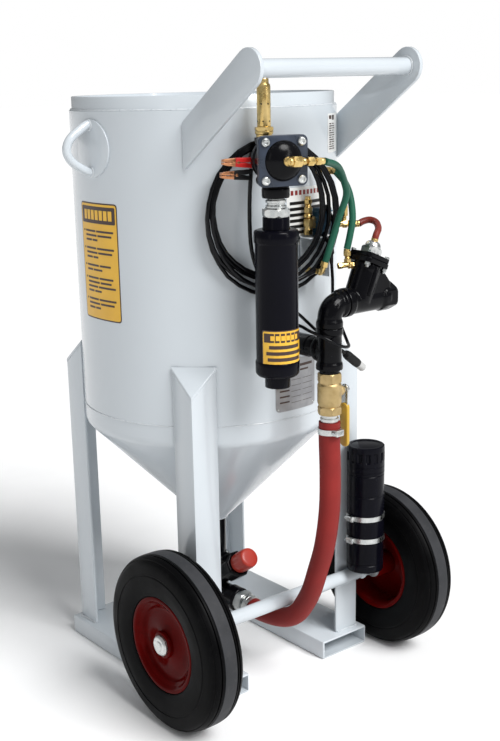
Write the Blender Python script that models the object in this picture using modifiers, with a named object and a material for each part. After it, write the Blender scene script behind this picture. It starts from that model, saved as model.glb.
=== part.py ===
"""Portable abrasive-blast pot on two wheels, with its air inlet, exhaust, metering valve and hoses."""

import bpy
import bmesh
import math
from mathutils import Matrix, Vector

for old in list(bpy.data.objects):
    bpy.data.objects.remove(old, do_unlink=True)

# Driving dimensions, in metres. The tank axis is x = y = 0 before the shift below.
SHIFT_Y = 0.0837            # centres the bounding box front to back
GAP = 0.0003                # clearance between pieces that touch
ROUND = 64                  # facets of the shell and of what is fitted to it

TANK_R = 0.305
WALL = 0.006
SHELL_BOTTOM = 0.655
SHELL_TOP = 1.330
HEAD_TOP = 1.360
HEAD_R = 0.2985
DISH_HOLE_R = 0.050
CONE_BAND = 0.612
CONE_TIP = 0.333
OUTLET_R = 0.030

LEG_X = 0.248
LEG_Y = 0.255
LEG_FLANGE = 0.0685
LEG_T = 0.006
LEG_TOP_OUT = 0.736
LEG_TOP_IN = 0.790
SKID_X0 = 0.118
SKID_X1 = 0.265
SKID_Y0 = -0.2735
SKID_Y1 = 0.2725
SKID_H = 0.0469
SKID_WALL = 0.0045

AXLE_Y = -0.2722
AXLE_Z = 0.2008
AXLE_R = 0.0167
TYRE_R = 0.2003
WHEEL_X0 = 0.2801
WHEEL_X1 = 0.3724

HANDLE_X = 0.2165
HANDLE_T = 0.009
HANDLE_Y = -0.4289
HANDLE_Z = 1.4078
HANDLE_R = 0.039
HANDLE_SLOPE = math.radians(35)
BAR_R = 0.0182

EXHAUST_AZ = math.radians(-17)
EXHAUST_Z = 1.232
SILENCER_AT = 0.406

INLET_Y = -0.420
AIR_HOSE_R = 0.0235
SMALL_HOSE_R = 0.0074
LEAD_R = 0.0035
BONNET_TILT = math.radians(23)
RUN_Z = 0.925
ELBOW_R = 0.029
MIXING_Z = 0.135

KNOB_TILT = math.radians(35)

main = bpy.data.collections.new("blast_pot")
bpy.context.scene.collection.children.link(main)
helpers = bpy.data.collections.new("cutters")
bpy.context.scene.collection.children.link(helpers)
helpers.hide_render = True

root = bpy.data.objects.new("root", None)
root.location = (0, SHIFT_Y, 0)
main.objects.link(root)


def material(name, colour, metallic=0.0, roughness=0.5):
    mat = bpy.data.materials.new(name)
    mat.use_nodes = True
    shader = mat.node_tree.nodes["Principled BSDF"]
    shader.inputs["Base Color"].default_value = (*colour, 1)
    shader.inputs["Metallic"].default_value = metallic
    shader.inputs["Roughness"].default_value = roughness
    mat.diffuse_color = (*colour, 1)
    return mat


COLOURS = {
    "paint": ((0.86, 0.88, 0.90), 0.0, 0.25),
    "red_paint": ((0.62, 0.03, 0.03), 0.0, 0.3),
    "black": ((0.02, 0.02, 0.025), 0.0, 0.4),
    "rubber": ((0.03, 0.03, 0.03), 0.0, 0.8),
    "red_hose": ((0.72, 0.10, 0.07), 0.0, 0.7),
    "rust_hose": ((0.40, 0.07, 0.03), 0.0, 0.6),
    "green_hose": ((0.03, 0.22, 0.16), 0.0, 0.5),
    "zinc": ((0.62, 0.63, 0.62), 1.0, 0.35),
    "brass": ((0.72, 0.50, 0.18), 1.0, 0.35),
    "orange": ((0.85, 0.16, 0.04), 0.0, 0.4),
    "mustard": ((0.75, 0.52, 0.08), 0.0, 0.5),
    "teal": ((0.05, 0.30, 0.32), 0.0, 0.4),
}


def finish(obj, name, colour, smooth=False):
    """Names the node, gives it its own material and links it under the root."""
    obj.name = name
    obj.data.materials.clear()
    obj.data.materials.append(material("mat_" + name, *COLOURS[colour]))
    if smooth:
        for face in obj.data.polygons:
            face.use_smooth = True
    obj.parent = root
    return obj


def new_object(bm, name, collection=main):
    bmesh.ops.recalc_face_normals(bm, faces=bm.faces)
    mesh = bpy.data.meshes.new(name)
    bm.to_mesh(mesh)
    bm.free()
    obj = bpy.data.objects.new(name, mesh)
    collection.objects.link(obj)
    return obj


def baked(obj):
    """The evaluated mesh of an object, in place of its modifiers or curve."""
    bpy.context.view_layer.update()
    graph = bpy.context.evaluated_depsgraph_get()
    mesh = bpy.data.meshes.new_from_object(obj.evaluated_get(graph))
    mesh.transform(obj.matrix_world)
    bm = bmesh.new()
    bm.from_mesh(mesh)
    bmesh.ops.remove_doubles(bm, verts=bm.verts, dist=0.00002)
    bmesh.ops.recalc_face_normals(bm, faces=bm.faces)
    bm.to_mesh(mesh)
    bm.free()
    made = bpy.data.objects.new(obj.name, mesh)
    main.objects.link(made)
    bpy.data.objects.remove(obj, do_unlink=True)
    return made


def frame_to(axis, at, turn=0.0):
    """A matrix that takes local Z onto the axis and the origin onto the point."""
    turned_z = Vector(axis).normalized().to_track_quat("Z", "Y").to_matrix().to_4x4()
    return Matrix.Translation(Vector(at)) @ turned_z @ Matrix.Rotation(turn, 4, "Z")


def turned(profile, name, axis=(0, 0, 1), at=(0, 0, 0), steps=32, turn=0.0):
    """A closed solid of revolution: (radius, height) points down the outer side, then up the bore if any."""
    bm = bmesh.new()
    points = [bm.verts.new((r, 0, z)) for r, z in profile]
    for a, b in zip(points, points[1:]):
        bm.edges.new((a, b))
    if profile[0][0] > 1e-6 or profile[-1][0] > 1e-6:
        bm.edges.new((points[-1], points[0]))
    mesh = bpy.data.meshes.new(name)
    bm.to_mesh(mesh)
    bm.free()
    obj = bpy.data.objects.new(name, mesh)
    main.objects.link(obj)
    screw = obj.modifiers.new("screw", "SCREW")
    screw.axis = "Z"
    screw.angle = 2 * math.pi
    screw.steps = steps
    screw.render_steps = steps
    screw.use_merge_vertices = True
    screw.merge_threshold = 0.00001
    obj.matrix_world = frame_to(axis, at, turn)
    return baked(obj)


def rod(radius, start, end, name, steps=24, bevel=0.0, turn=0.0):
    """A straight round bar, or a prism when steps is small, with chamfered ends."""
    start = Vector(start)
    along = Vector(end) - start
    length = along.length
    if bevel > 0:
        profile = [(0, length), (radius - bevel, length), (radius, length - bevel)]
        profile += [(radius, bevel), (radius - bevel, 0), (0, 0)]
    else:
        profile = [(0, length), (radius, length), (radius, 0), (0, 0)]
    return turned(profile, name, along, start, steps, turn)


def ring(outer, inner, start, end, name, steps=24, bevel=0.0, turn=0.0):
    """A straight round sleeve with a through bore."""
    start = Vector(start)
    along = Vector(end) - start
    length = along.length
    profile = [(inner, length), (outer - bevel, length), (outer, length - bevel)]
    profile += [(outer, bevel), (outer - bevel, 0), (inner, 0)]
    if bevel <= 0:
        profile = [(inner, length), (outer, length), (outer, 0), (inner, 0)]
    return turned(profile, name, along, start, steps, turn)


def box(low, high, name, collection=main):
    bm = bmesh.new()
    bmesh.ops.create_cube(bm, size=1)
    size = Vector(high) - Vector(low)
    middle = (Vector(high) + Vector(low)) / 2
    for vert in bm.verts:
        vert.co = Vector(a * b for a, b in zip(vert.co, size)) + middle
    return new_object(bm, name, collection)


def plate(outline, thickness, name, frame):
    """A flat outline extruded to both sides of its plane, then placed by a matrix."""
    bm = bmesh.new()
    low = [bm.verts.new((x, y, -thickness / 2)) for x, y in outline]
    high = [bm.verts.new((x, y, thickness / 2)) for x, y in outline]
    bm.faces.new(list(reversed(low)))
    bm.faces.new(high)
    count = len(outline)
    for i in range(count):
        j = (i + 1) % count
        bm.faces.new((low[i], low[j], high[j], high[i]))
    bmesh.ops.recalc_face_normals(bm, faces=bm.faces)
    made = new_object(bm, name)
    made.data.transform(frame)
    return made


def smooth_path(points, parts):
    """Catmull-Rom points through the given ones."""
    points = [Vector(p) for p in points]
    padded = [2 * points[0] - points[1]] + points + [2 * points[-1] - points[-2]]
    made = []
    for i in range(1, len(padded) - 2):
        a, b, c, d = padded[i - 1], padded[i], padded[i + 1], padded[i + 2]
        for k in range(parts):
            t = k / parts
            made.append(
                0.5 * (2 * b + (c - a) * t + (2 * a - 5 * b + 4 * c - d) * t ** 2
                       + (3 * b - a - 3 * c + d) * t ** 3)
            )
    made.append(points[-1])
    return made


def tube(points, radius, name, resolution=2):
    """A round bar that follows the points."""
    curve = bpy.data.curves.new(name, "CURVE")
    curve.dimensions = "3D"
    curve.bevel_depth = radius
    curve.bevel_resolution = resolution
    curve.use_fill_caps = True
    spline = curve.splines.new("POLY")
    spline.points.add(len(points) - 1)
    for point, place in zip(spline.points, points):
        point.co = (*place, 1)
    obj = bpy.data.objects.new(name, curve)
    main.objects.link(obj)
    return baked(obj)


def boolean(obj, other, operation):
    other.hide_render = True
    other.display_type = "WIRE"
    for collection in list(other.users_collection):
        collection.objects.unlink(other)
    helpers.objects.link(other)
    modifier = obj.modifiers.new("bool", "BOOLEAN")
    modifier.operation = operation
    modifier.solver = "EXACT"
    modifier.object = other
    made = baked(obj)
    bpy.data.objects.remove(other, do_unlink=True)
    return made


def union(first, *others):
    for other in others:
        first = boolean(first, other, "UNION")
    return first


def cut(first, *others):
    for other in others:
        first = boolean(first, other, "DIFFERENCE")
    return first


def polar(azimuth, radius, z):
    """A point at an azimuth from the service side toward +X, at a radius from the tank axis."""
    return Vector((radius * math.sin(azimuth), -radius * math.cos(azimuth), z))


# ---- pressure tank ----
shell = turned(
    [(TANK_R - WALL, SHELL_TOP), (TANK_R, SHELL_TOP), (TANK_R, SHELL_BOTTOM),
        (TANK_R - WALL, SHELL_BOTTOM)],
    "tank_shell", steps=ROUND,
)
finish(shell, "tank_shell", "paint", True)

# The set-in head: a collar that stands out of the shell, and a dish that falls to the fill hole.
head_profile = [(HEAD_R - 0.007, HEAD_TOP), (HEAD_R, HEAD_TOP - 0.003), (HEAD_R, SHELL_TOP - 0.045)]
head_profile += [(HEAD_R - 0.007, SHELL_TOP - 0.047), (HEAD_R - 0.008, 1.326), (HEAD_R - 0.030, 1.297)]
dish_out = []
dish_in = []
for k in range(4):
    r = 0.255 - k * (0.255 - DISH_HOLE_R) / 3
    z = 1.224 + 0.066 * (r / 0.255) ** 2
    dish_out.append((r, z))
    dish_in.append((r, z + 0.007))
head_profile += dish_out + list(reversed(dish_in))
head_profile += [(HEAD_R - 0.029, 1.309), (HEAD_R - 0.014, 1.334)]
head = turned(head_profile, "top_head", steps=40)
finish(head, "top_head", "paint", True)

cone_profile = [(TANK_R - WALL, SHELL_BOTTOM - GAP), (TANK_R, SHELL_BOTTOM - GAP),
    (TANK_R, CONE_BAND + 0.010)]
cone_profile += [(TANK_R - 0.002, CONE_BAND), (TANK_R - 0.008, CONE_BAND - 0.009)]
cone_profile += [(OUTLET_R + 0.002, CONE_TIP), (OUTLET_R - 0.0064, CONE_TIP)]
cone_profile += [(TANK_R - 0.0123, CONE_BAND - 0.0047), (TANK_R - WALL, CONE_BAND + 0.012)]
cone = turned(cone_profile, "bottom_cone", steps=44)
finish(cone, "bottom_cone", "paint", True)

# ---- pop-up filling head: guide pipe, seal and plunger ----
guide = ring(0.024, 0.0205, (0, 0, 0.86), (0, 0, 1.150), "popup_guide", 20)
for side in (-1, 1):
    arm = box((-0.2985 if side < 0 else 0.0225, -0.006, 0.90),
        (-0.0225 if side < 0 else 0.2985, 0.006, 0.925), "arm")
    guide = union(guide, arm)
finish(guide, "popup_guide", "paint")

seal = turned(
    [(0, 1.2170), (0.030, 1.2170), (0.054, 1.2020), (0.062, 1.1900), (0.062, 1.1860), (0.0, 1.1860)],
    "popup_seal", steps=28,
)
finish(seal, "popup_seal", "rubber", True)
plunger = rod(0.0200, (0, 0, 0.93), (0, 0, 1.1857), "popup_plunger", 20, 0.002)
finish(plunger, "popup_plunger", "zinc", True)

# ---- legs: angle iron with a sloped cap, standing on the skids ----
def cap_z(x, y):
    """Height of the sloped cap above the leg's outer corner, at a distance in from it each way."""
    return LEG_TOP_OUT + (x + y) * (LEG_TOP_IN - LEG_TOP_OUT) / LEG_FLANGE


def leg(sign_x, sign_y, name):
    outline = [(0, 0), (LEG_FLANGE, 0), (LEG_FLANGE, LEG_T), (LEG_T, LEG_T), (LEG_T, LEG_FLANGE),
        (0, LEG_FLANGE)]
    bm = bmesh.new()
    low = [bm.verts.new((x, y, SKID_H + GAP)) for x, y in outline]
    high = [bm.verts.new((x, y, cap_z(x, y) - 0.003)) for x, y in outline]
    bm.faces.new(list(reversed(low)))
    bm.faces.new(high)
    for i in range(6):
        j = (i + 1) % 6
        bm.faces.new((low[i], low[j], high[j], high[i]))
    angle_iron = new_object(bm, name)
    # The triangular plate that closes the leg's top and meets the tank.
    reach = LEG_FLANGE + 0.003
    edge = -0.0006
    corners = [(edge, edge), (reach, edge), (edge, reach)]
    bm = bmesh.new()
    low = [bm.verts.new((x, y, cap_z(x, y) - 0.007)) for x, y in corners]
    high = [bm.verts.new((x, y, cap_z(x, y))) for x, y in corners]
    bm.faces.new(list(reversed(low)))
    bm.faces.new(high)
    for i in range(3):
        j = (i + 1) % 3
        bm.faces.new((low[i], low[j], high[j], high[i]))
    angle_iron = union(angle_iron, new_object(bm, "cap"))
    flip = Matrix.Translation((sign_x * LEG_X, sign_y * LEG_Y, 0)) @ Matrix.Diagonal((-sign_x, -sign_y, 1,
        1))
    angle_iron.data.transform(flip)
    if sign_x * sign_y < 0:
        angle_iron.data.flip_normals()
    relief = rod(TANK_R + GAP, (0, 0, 0.60), (0, 0, 0.9), "relief", ROUND)
    return finish(cut(angle_iron, relief), name, "paint")


leg(-1, -1, "leg_front_left")
leg(1, -1, "leg_front_right")
leg(-1, 1, "leg_rear_left")
leg(1, 1, "leg_rear_right")

# ---- skids with fork pockets ----
for sign, name in ((-1, "skid_left"), (1, "skid_right")):
    x0, x1 = sorted((sign * SKID_X0, sign * SKID_X1))
    skid = box((x0, SKID_Y0, 0), (x1, SKID_Y1, SKID_H), name)
    bevel = skid.modifiers.new("bevel", "BEVEL")
    bevel.width = 0.004
    bevel.segments = 2
    bevel.limit_method = "ANGLE"
    skid = baked(skid)
    w = SKID_WALL
    pocket = box((x0 + w, SKID_Y0 - 0.02, w), (x1 - w, SKID_Y1 + 0.02, SKID_H - w), "pocket")
    skid = cut(skid, pocket)
    finish(skid, name, "paint")

# ---- axle and wheels ----
axle = rod(AXLE_R, (-0.3618, AXLE_Y, AXLE_Z), (0.3618, AXLE_Y, AXLE_Z), "axle", 28, 0.001)
finish(axle, "axle", "paint", True)

for sign, side in ((-1, "left"), (1, "right")):
    mid = (WHEEL_X0 + WHEEL_X1) / 2
    half = (WHEEL_X1 - WHEEL_X0) / 2
    # Rim with its hub sleeve: a dished steel wheel, revolved about the axle.
    rim_profile = [
        (AXLE_R + GAP, half - 0.0100), (0.0300, half - 0.0100), (0.0310, half - 0.0240),
        (0.0880, half - 0.0260), (0.1000, half - 0.0080), (0.1090, half - 0.0080), (0.1090, half - 0.0120),
        (0.0970, half - 0.0220), (0.0965, -half + 0.0220), (0.1090, -half + 0.0120), (0.1090,
            -half + 0.0080),
        (0.1000, -half + 0.0080), (0.0920, -half + 0.0200), (0.0920, half - 0.0310),
        (0.0310, half - 0.0310), (0.0280, -half + 0.0060), (AXLE_R + GAP, -half + 0.0060),
    ]
    rim = turned(rim_profile, "rim", (sign, 0, 0), (sign * mid, AXLE_Y, AXLE_Z), 28)
    # The zinc cap closes the sleeve in front of the axle's end.
    hub = turned(
        [(0, half + 0.0000), (0.0180, half - 0.0004), (0.0235, half - 0.0045), (0.0235, half - 0.0102),
            (0, half - 0.0102)],
        "hub", (sign, 0, 0), (sign * mid, AXLE_Y, AXLE_Z), 20,
    )
    rim = union(rim, hub)
    finish(rim, "wheel_rim_" + side, "red_paint", True)
    tyre_profile = [
        (0.1108, half - 0.0075), (0.1350, half - 0.0015), (0.1500, half - 0.0005), (0.1740, half - 0.0020),
        (0.1880, half - 0.0070), (0.1990, half - 0.0200), (0.1955, half - 0.0240),
        (TYRE_R, half - 0.0290), (TYRE_R, half - 0.0390), (0.1958, half - 0.0400),
        (0.1958, -half + 0.0400), (TYRE_R, -half + 0.0390), (TYRE_R, -half + 0.0290),
        (0.1955, -half + 0.0240), (0.1990, -half + 0.0200), (0.1880, -half + 0.0070),
        (0.1740, -half + 0.0020), (0.1500, -half + 0.0005), (0.1350, -half + 0.0015), (0.1108,
            -half + 0.0075),
        (0.1108, -half + 0.0130), (0.0985, -half + 0.0235), (0.0985, half - 0.0235), (0.1108,
            half - 0.0130),
    ]
    tyre = turned(tyre_profile, "tyre", (sign, 0, 0), (sign * mid, AXLE_Y, AXLE_Z), 32)
    finish(tyre, "tyre_" + side, "rubber", True)

# ---- push handle ----
for sign, side in ((-1, "left"), (1, "right")):
    slope = HANDLE_SLOPE
    along = Vector((math.cos(slope), -math.sin(slope)))
    across = Vector((-along.y, along.x))
    outline = []
    for k in range(13):
        turn = math.radians(90 + 15 * k)
        point = Vector((HANDLE_Y, HANDLE_Z))
        point += HANDLE_R * (math.cos(turn) * along + math.sin(turn) * across)
        outline.append((point.x, point.y))
    inner_y = -0.2152
    top = Vector((HANDLE_Y, HANDLE_Z)) + HANDLE_R * across
    bottom = Vector((HANDLE_Y, HANDLE_Z)) - HANDLE_R * across
    step_bottom = (inner_y - bottom.x) / along.x
    step_top = (inner_y - 0.012 - top.x) / along.x
    end_low = bottom + along * step_bottom
    end_high = top + along * step_top
    outline.append((end_low.x, end_low.y))
    outline.append((inner_y, end_high.y - 0.008))
    outline.append((end_high.x, end_high.y))
    # Local X and Y of the outline become world Y and Z.
    frame = Matrix(((0, 0, 1, sign * HANDLE_X), (1, 0, 0, 0), (0, 1, 0, 0), (0, 0, 0, 1)))
    arm = plate(outline, HANDLE_T, "arm", frame)
    relief = rod(TANK_R + GAP, (0, 0, 1.1), (0, 0, 1.45), "relief", ROUND)
    arm = cut(arm, relief)
    finish(arm, "handle_arm_" + side, "paint")

bar_half = HANDLE_X - HANDLE_T / 2 - GAP
bar = rod(BAR_R, (-bar_half, HANDLE_Y, HANDLE_Z), (bar_half, HANDLE_Y, HANDLE_Z), "handle_bar", 28)
finish(bar, "handle_bar", "paint", True)

# ---- lifting eyes: a bent bar on a round pad that follows the shell ----
EYE_PATH = [(0.3070, 1.302), (0.3150, 1.302), (0.333, 1.292), (0.351, 1.280), (0.3625, 1.267),
    (0.3672, 1.251)]
EYE_PATH += [(0.3625, 1.236), (0.351, 1.223), (0.333, 1.212), (0.3150, 1.203), (0.3070, 1.203)]
for sign, side in ((-1, "left"), (1, "right")):
    pad = ring(TANK_R + 0.0043, TANK_R + GAP, (0, 0, 1.17), (0, 0, 1.335), "pad", ROUND)
    disc = rod(0.062, (sign * 0.28, 0, 1.2525), (sign * 0.33, 0, 1.2525), "disc", 28)
    pad = boolean(pad, disc, "INTERSECT")
    eye = tube([(sign * r, 0, z) for r, z in EYE_PATH], 0.0095, "eye")
    eye = union(pad, eye)
    finish(eye, "lifting_eye_" + side, "paint")

# ---- exhaust group, along a line that leaves the tank at its own azimuth ----
OUT = polar(EXHAUST_AZ, 1, 0)
SIDE = Vector((math.cos(EXHAUST_AZ), math.sin(EXHAUST_AZ), 0))
UP = Vector((0, 0, 1))


def exhaust_at(radius, side, z):
    return OUT * radius + SIDE * side + UP * z


def exhaust_frame(radius, side, z):
    """Local X runs sideways, Y up and Z outward."""
    place = exhaust_at(radius, side, z)
    return Matrix((
        (SIDE.x, UP.x, OUT.x, place.x), (SIDE.y, UP.y, OUT.y, place.y), (SIDE.z, UP.z, OUT.z,
            place.z), (0, 0, 0, 1),
    ))


def rounded(half_x, half_y, radius, steps=3):
    """The outline of a plate with rounded corners."""
    points = []
    for quarter, (sx, sy) in enumerate(((1, 1), (-1, 1), (-1, -1), (1, -1))):
        for k in range(steps + 1):
            turn = math.pi / 2 * (quarter + k / steps)
            points.append((sx * (half_x - radius) + radius * math.cos(turn),
                sy * (half_y - radius) + radius * math.sin(turn)))
    return points


pipe = rod(0.0168, exhaust_at(0.3062, 0, EXHAUST_Z), exhaust_at(0.336, 0, EXHAUST_Z), "pipe")
tee_run = rod(0.0235, exhaust_at(0.3315, 0, EXHAUST_Z), exhaust_at(0.3717, 0, EXHAUST_Z), "tee", 24, 0.0015)
tee_top = rod(0.0200, exhaust_at(0.3510, 0, EXHAUST_Z), exhaust_at(0.3510, 0, 1.2745), "tee_top", 20, 0.001)
finish(union(tee_run, pipe, tee_top), "exhaust_pipe", "black")

relief_nut = rod(0.0205, exhaust_at(0.3510, 0, 1.2748), exhaust_at(0.3510, 0, 1.2935), "nut", 6, 0.0015)
relief_body = turned(
    [(0, 1.3910), (0.0095, 1.3910), (0.0105, 1.3800), (0.0138, 1.3780), (0.0140, 1.2900), (0, 1.2900)],
    "relief", at=exhaust_at(0.3510, 0, 0), steps=20,
)
finish(union(relief_nut, relief_body), "relief_valve", "brass")

# The valve body is bored for its piston and has a port in its underside.
BODY_0 = 0.3723
BODY_L = 0.0624
profile = [(0.0300, BODY_L), (0.0405, BODY_L), (0.0425, BODY_L - 0.002), (0.0425, 0.0500), (0.0400, 0.0480)]
profile += [(0.0400, 0.0200), (0.0425, 0.0180), (0.0425, 0.0060), (0.0360, 0.0), (0.0120, 0.0)]
profile += [(0.0120, 0.0100), (0.0300, 0.0130)]
body = turned(profile, "body", OUT, exhaust_at(BODY_0, 0, EXHAUST_Z), 24)
boss = rod(0.0250, exhaust_at(0.4040, 0, 1.1783), exhaust_at(0.4040, 0, 1.1990), "boss", 24)
port = rod(0.0140, exhaust_at(0.4040, 0, 1.1700), exhaust_at(0.4040, 0, 1.2100), "port", 20)
finish(cut(union(body, boss), port), "exhaust_valve_body", "black")

piston = turned(
    [(0, 0.0150), (0.0080, 0.0150), (0.0080, 0.0120), (0.0293, 0.0120), (0.0293, 0.0015), (0.0250, 0.0),
        (0, 0.0)],
    "piston", OUT, exhaust_at(0.4185, 0, EXHAUST_Z), 24,
)
finish(piston, "exhaust_piston", "brass")

cover = plate(rounded(0.0525, 0.0500, 0.012), 0.012, "cover", exhaust_frame(0.4410, 0, EXHAUST_Z))
dome = turned(
    [(0, 0.0230), (0.0110, 0.0225), (0.0250, 0.0185), (0.0350, 0.0115), (0.0400, 0.0040), (0.0400, 0.0),
        (0, 0.0)],
    "dome", OUT, exhaust_at(0.4420, 0, EXHAUST_Z), 20,
)
finish(union(cover, dome), "exhaust_valve_cover", "black")

union_profile = [(0.0130, 1.1780), (0.0265, 1.1780), (0.0285, 1.1740), (0.0285, 1.1600), (0.0265, 1.1560)]
union_profile += [(0.0170, 1.1560), (0.0170, 1.1370), (0.0275, 1.1350), (0.0275, 1.1190), (0.0277, 1.1180)]
union_profile += [(0.0277, 1.0943), (0.0130, 1.0943)]
joint = turned(union_profile, "union", at=exhaust_at(SILENCER_AT, 0, 0), steps=16)
finish(joint, "exhaust_union", "zinc", True)

silencer_profile = [(0, 1.0940), (0.0400, 1.0940), (0.0465, 1.0885), (0.0465, 1.0670), (0.0445, 1.0660)]
silencer_profile += [(0.0445, 0.8220), (0.0465, 0.8210), (0.0465, 0.7960), (0.0400, 0.7890),
    (0.0270, 0.7890)]
silencer_profile += [(0.0270, 0.7640), (0.0215, 0.7640), (0.0215, 0.7850), (0, 0.7850)]
silencer = turned(silencer_profile, "silencer", at=exhaust_at(SILENCER_AT, 0, 0), steps=20)
finish(silencer, "silencer", "black", True)

# ---- air supply line from the tank: pipe, tee, ball valve and elbow ----
TEE_Z = 0.828
STEM_Z = 0.734
tank_pipe = ring(0.0242, 0.0140, (0, -0.3060, TEE_Z), (0, -0.3888, TEE_Z), "pipe")
finish(tank_pipe, "tank_inlet_pipe", "black")

tee_profile = [(0.0150, 0.8780), (0.0290, 0.8780), (0.0290, 0.8640), (0.0270, 0.8600), (0.0270, 0.8040)]
tee_profile += [(0.0290, 0.8000), (0.0290, 0.7862), (0.0150, 0.7862)]
tee = turned(tee_profile, "tee", at=(0, INLET_Y, 0), steps=20)
branch = rod(0.0285, (0, INLET_Y + 0.0170, TEE_Z), (0, -0.3892, TEE_Z), "branch", 20)
branch_bore = rod(0.0140, (0, INLET_Y, TEE_Z), (0, -0.38, TEE_Z), "bore", 20)
tee = cut(union(tee, branch), branch_bore)
finish(tee, "supply_tee", "black")

ball_profile = [(0.0125, 0.7858), (0.0170, 0.7858), (0.0170, 0.7720), (0.0240, 0.7720), (0.0240, 0.7580)]
ball_profile += [(0.0262, 0.7540), (0.0262, 0.7130), (0.0240, 0.7090), (0.0240, 0.6872), (0.0125, 0.6872)]
for height, radius in ((-0.0152, 0.0126), (-0.0114, 0.0165), (-0.0060, 0.0192), (0, 0.0201),
                       (0.0060, 0.0192), (0.0114, 0.0165), (0.0152, 0.0126)):
    ball_profile.append((radius, STEM_Z + height))
valve = turned(ball_profile, "valve", at=(0, INLET_Y, 0), steps=20)
neck = rod(0.0105, (0.0215, INLET_Y, STEM_Z), (0.0400, INLET_Y, STEM_Z), "neck", 16)
stem_bore = rod(0.0065, (0.0100, INLET_Y, STEM_Z), (0.0500, INLET_Y, STEM_Z), "stem_bore", 16)
valve = cut(union(valve, neck), stem_bore)
finish(valve, "ball_valve_body", "brass")

bm = bmesh.new()
bmesh.ops.create_uvsphere(bm, u_segments=20, v_segments=10, radius=0.0188)
bmesh.ops.transform(bm, matrix=Matrix.Translation((0, INLET_Y, STEM_Z)), verts=bm.verts)
ball = new_object(bm, "ball")
ball_bore = rod(0.0125, (0, INLET_Y, STEM_Z - 0.03), (0, INLET_Y, STEM_Z + 0.03), "bore", 24)
stem = rod(0.0055, (0.0150, INLET_Y, STEM_Z), (0.0440, INLET_Y, STEM_Z), "stem", 12)
finish(union(cut(ball, ball_bore), stem), "ball_valve_ball", "zinc")

lever = plate(rounded(0.0095, 0.0470, 0.0090), 0.0028, "lever", Matrix((
    (0, 0, 1, 0.0458), (1, 0, 0, INLET_Y), (0, 1, 0, STEM_Z - 0.0350), (0, 0, 0, 1),
)))
nut = rod(0.0085, (0.0460, INLET_Y, STEM_Z), (0.0530, INLET_Y, STEM_Z), "nut", 6, 0.0008)
finish(union(lever, nut), "ball_valve_lever", "zinc")
grip = plate(rounded(0.0125, 0.0500, 0.0115), 0.0090, "grip", Matrix((
    (0, 0, 1, 0.0458), (1, 0, 0, INLET_Y), (0, 1, 0, 0.6540), (0, 0, 0, 1),
)))
slot = box((0.0441, INLET_Y - 0.0098, 0.6515), (0.0475, INLET_Y + 0.0098, 0.7200), "slot")
finish(cut(grip, slot), "ball_valve_grip", "mustard")

nipple = ring(0.0200, 0.0125, (0, INLET_Y, 0.6703), (0, INLET_Y, 0.6869), "nipple", 16, 0.001)
finish(nipple, "hose_nipple_top", "zinc", True)
band = ring(0.0258, 0.0242, (0, INLET_Y, 0.6440), (0, INLET_Y, 0.6560), "band", 28)
screw_box = box((-0.0080, INLET_Y - 0.0345, 0.6430), (0.0080, INLET_Y - 0.0248, 0.6570), "screw_box")
finish(union(band, screw_box), "hose_clamp_top", "zinc")

# The red hose hangs from the nipple, passes in front of the axle and under it to the mixing tee.
hose_points = [(0, INLET_Y, 0.6700), (0, INLET_Y, 0.6250), (0, -0.4225, 0.550), (0, -0.4200, 0.466)]
hose_points += [(0, -0.4050, 0.378), (0, -0.3820, 0.309), (0, -0.3610, 0.253), (0, -0.3375, 0.212)]
hose_points += [(0, -0.3150, 0.182), (0, -0.2840, 0.1585), (0, -0.2400, 0.1425), (0, -0.1850, 0.135),
    (0, -0.1512, 0.135)]
hose = tube(smooth_path(hose_points, 2), AIR_HOSE_R, "hose")
finish(hose, "supply_hose", "red_hose", True)
coupling = turned(
    [(0.0110, 0.0495), (0.0250, 0.0495), (0.0262, 0.0460), (0.0262, 0.0360), (0.0215, 0.0340),
        (0.0215, 0.0270),
     (0.0285, 0.0240), (0.0285, 0.0040), (0.0265, 0.0), (0.0110, 0.0)],
    "coupling", (0, -1, 0), (0, -0.1005, 0.135), 20,
)
finish(coupling, "hose_coupling_bottom", "zinc", True)

# ---- air inlet valve: elbow, Y body, piston, square cap and reducer ----
elbow_path = [(0, INLET_Y, 0.8783), (0, INLET_Y, RUN_Z - ELBOW_R)]
for k in range(1, 7):
    turn = math.radians(15 * k)
    elbow_path.append((ELBOW_R * (1 - math.cos(turn)), INLET_Y, RUN_Z - ELBOW_R * (1 - math.sin(turn))))
elbow_path.append((0.0357, INLET_Y, RUN_Z))
elbow = tube(elbow_path, 0.0268, "elbow", 3)
collar = rod(0.0290, (0, INLET_Y, 0.8783), (0, INLET_Y, 0.8930), "collar", 20, 0.001)
elbow = union(elbow, collar)
finish(elbow, "inlet_elbow", "black")

LEAN = Vector((math.sin(BONNET_TILT), 0, math.cos(BONNET_TILT)))
FLAT = Vector((math.cos(BONNET_TILT), 0, -math.sin(BONNET_TILT)))
FOOT = Vector((0.0800, INLET_Y, RUN_Z))


def bonnet_frame(distance):
    place = FOOT + LEAN * distance
    return Matrix((
        (FLAT.x, 0, LEAN.x, place.x), (0, 1, 0, place.y), (FLAT.z, 0, LEAN.z, place.z), (0, 0, 0, 1),
    ))


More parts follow.
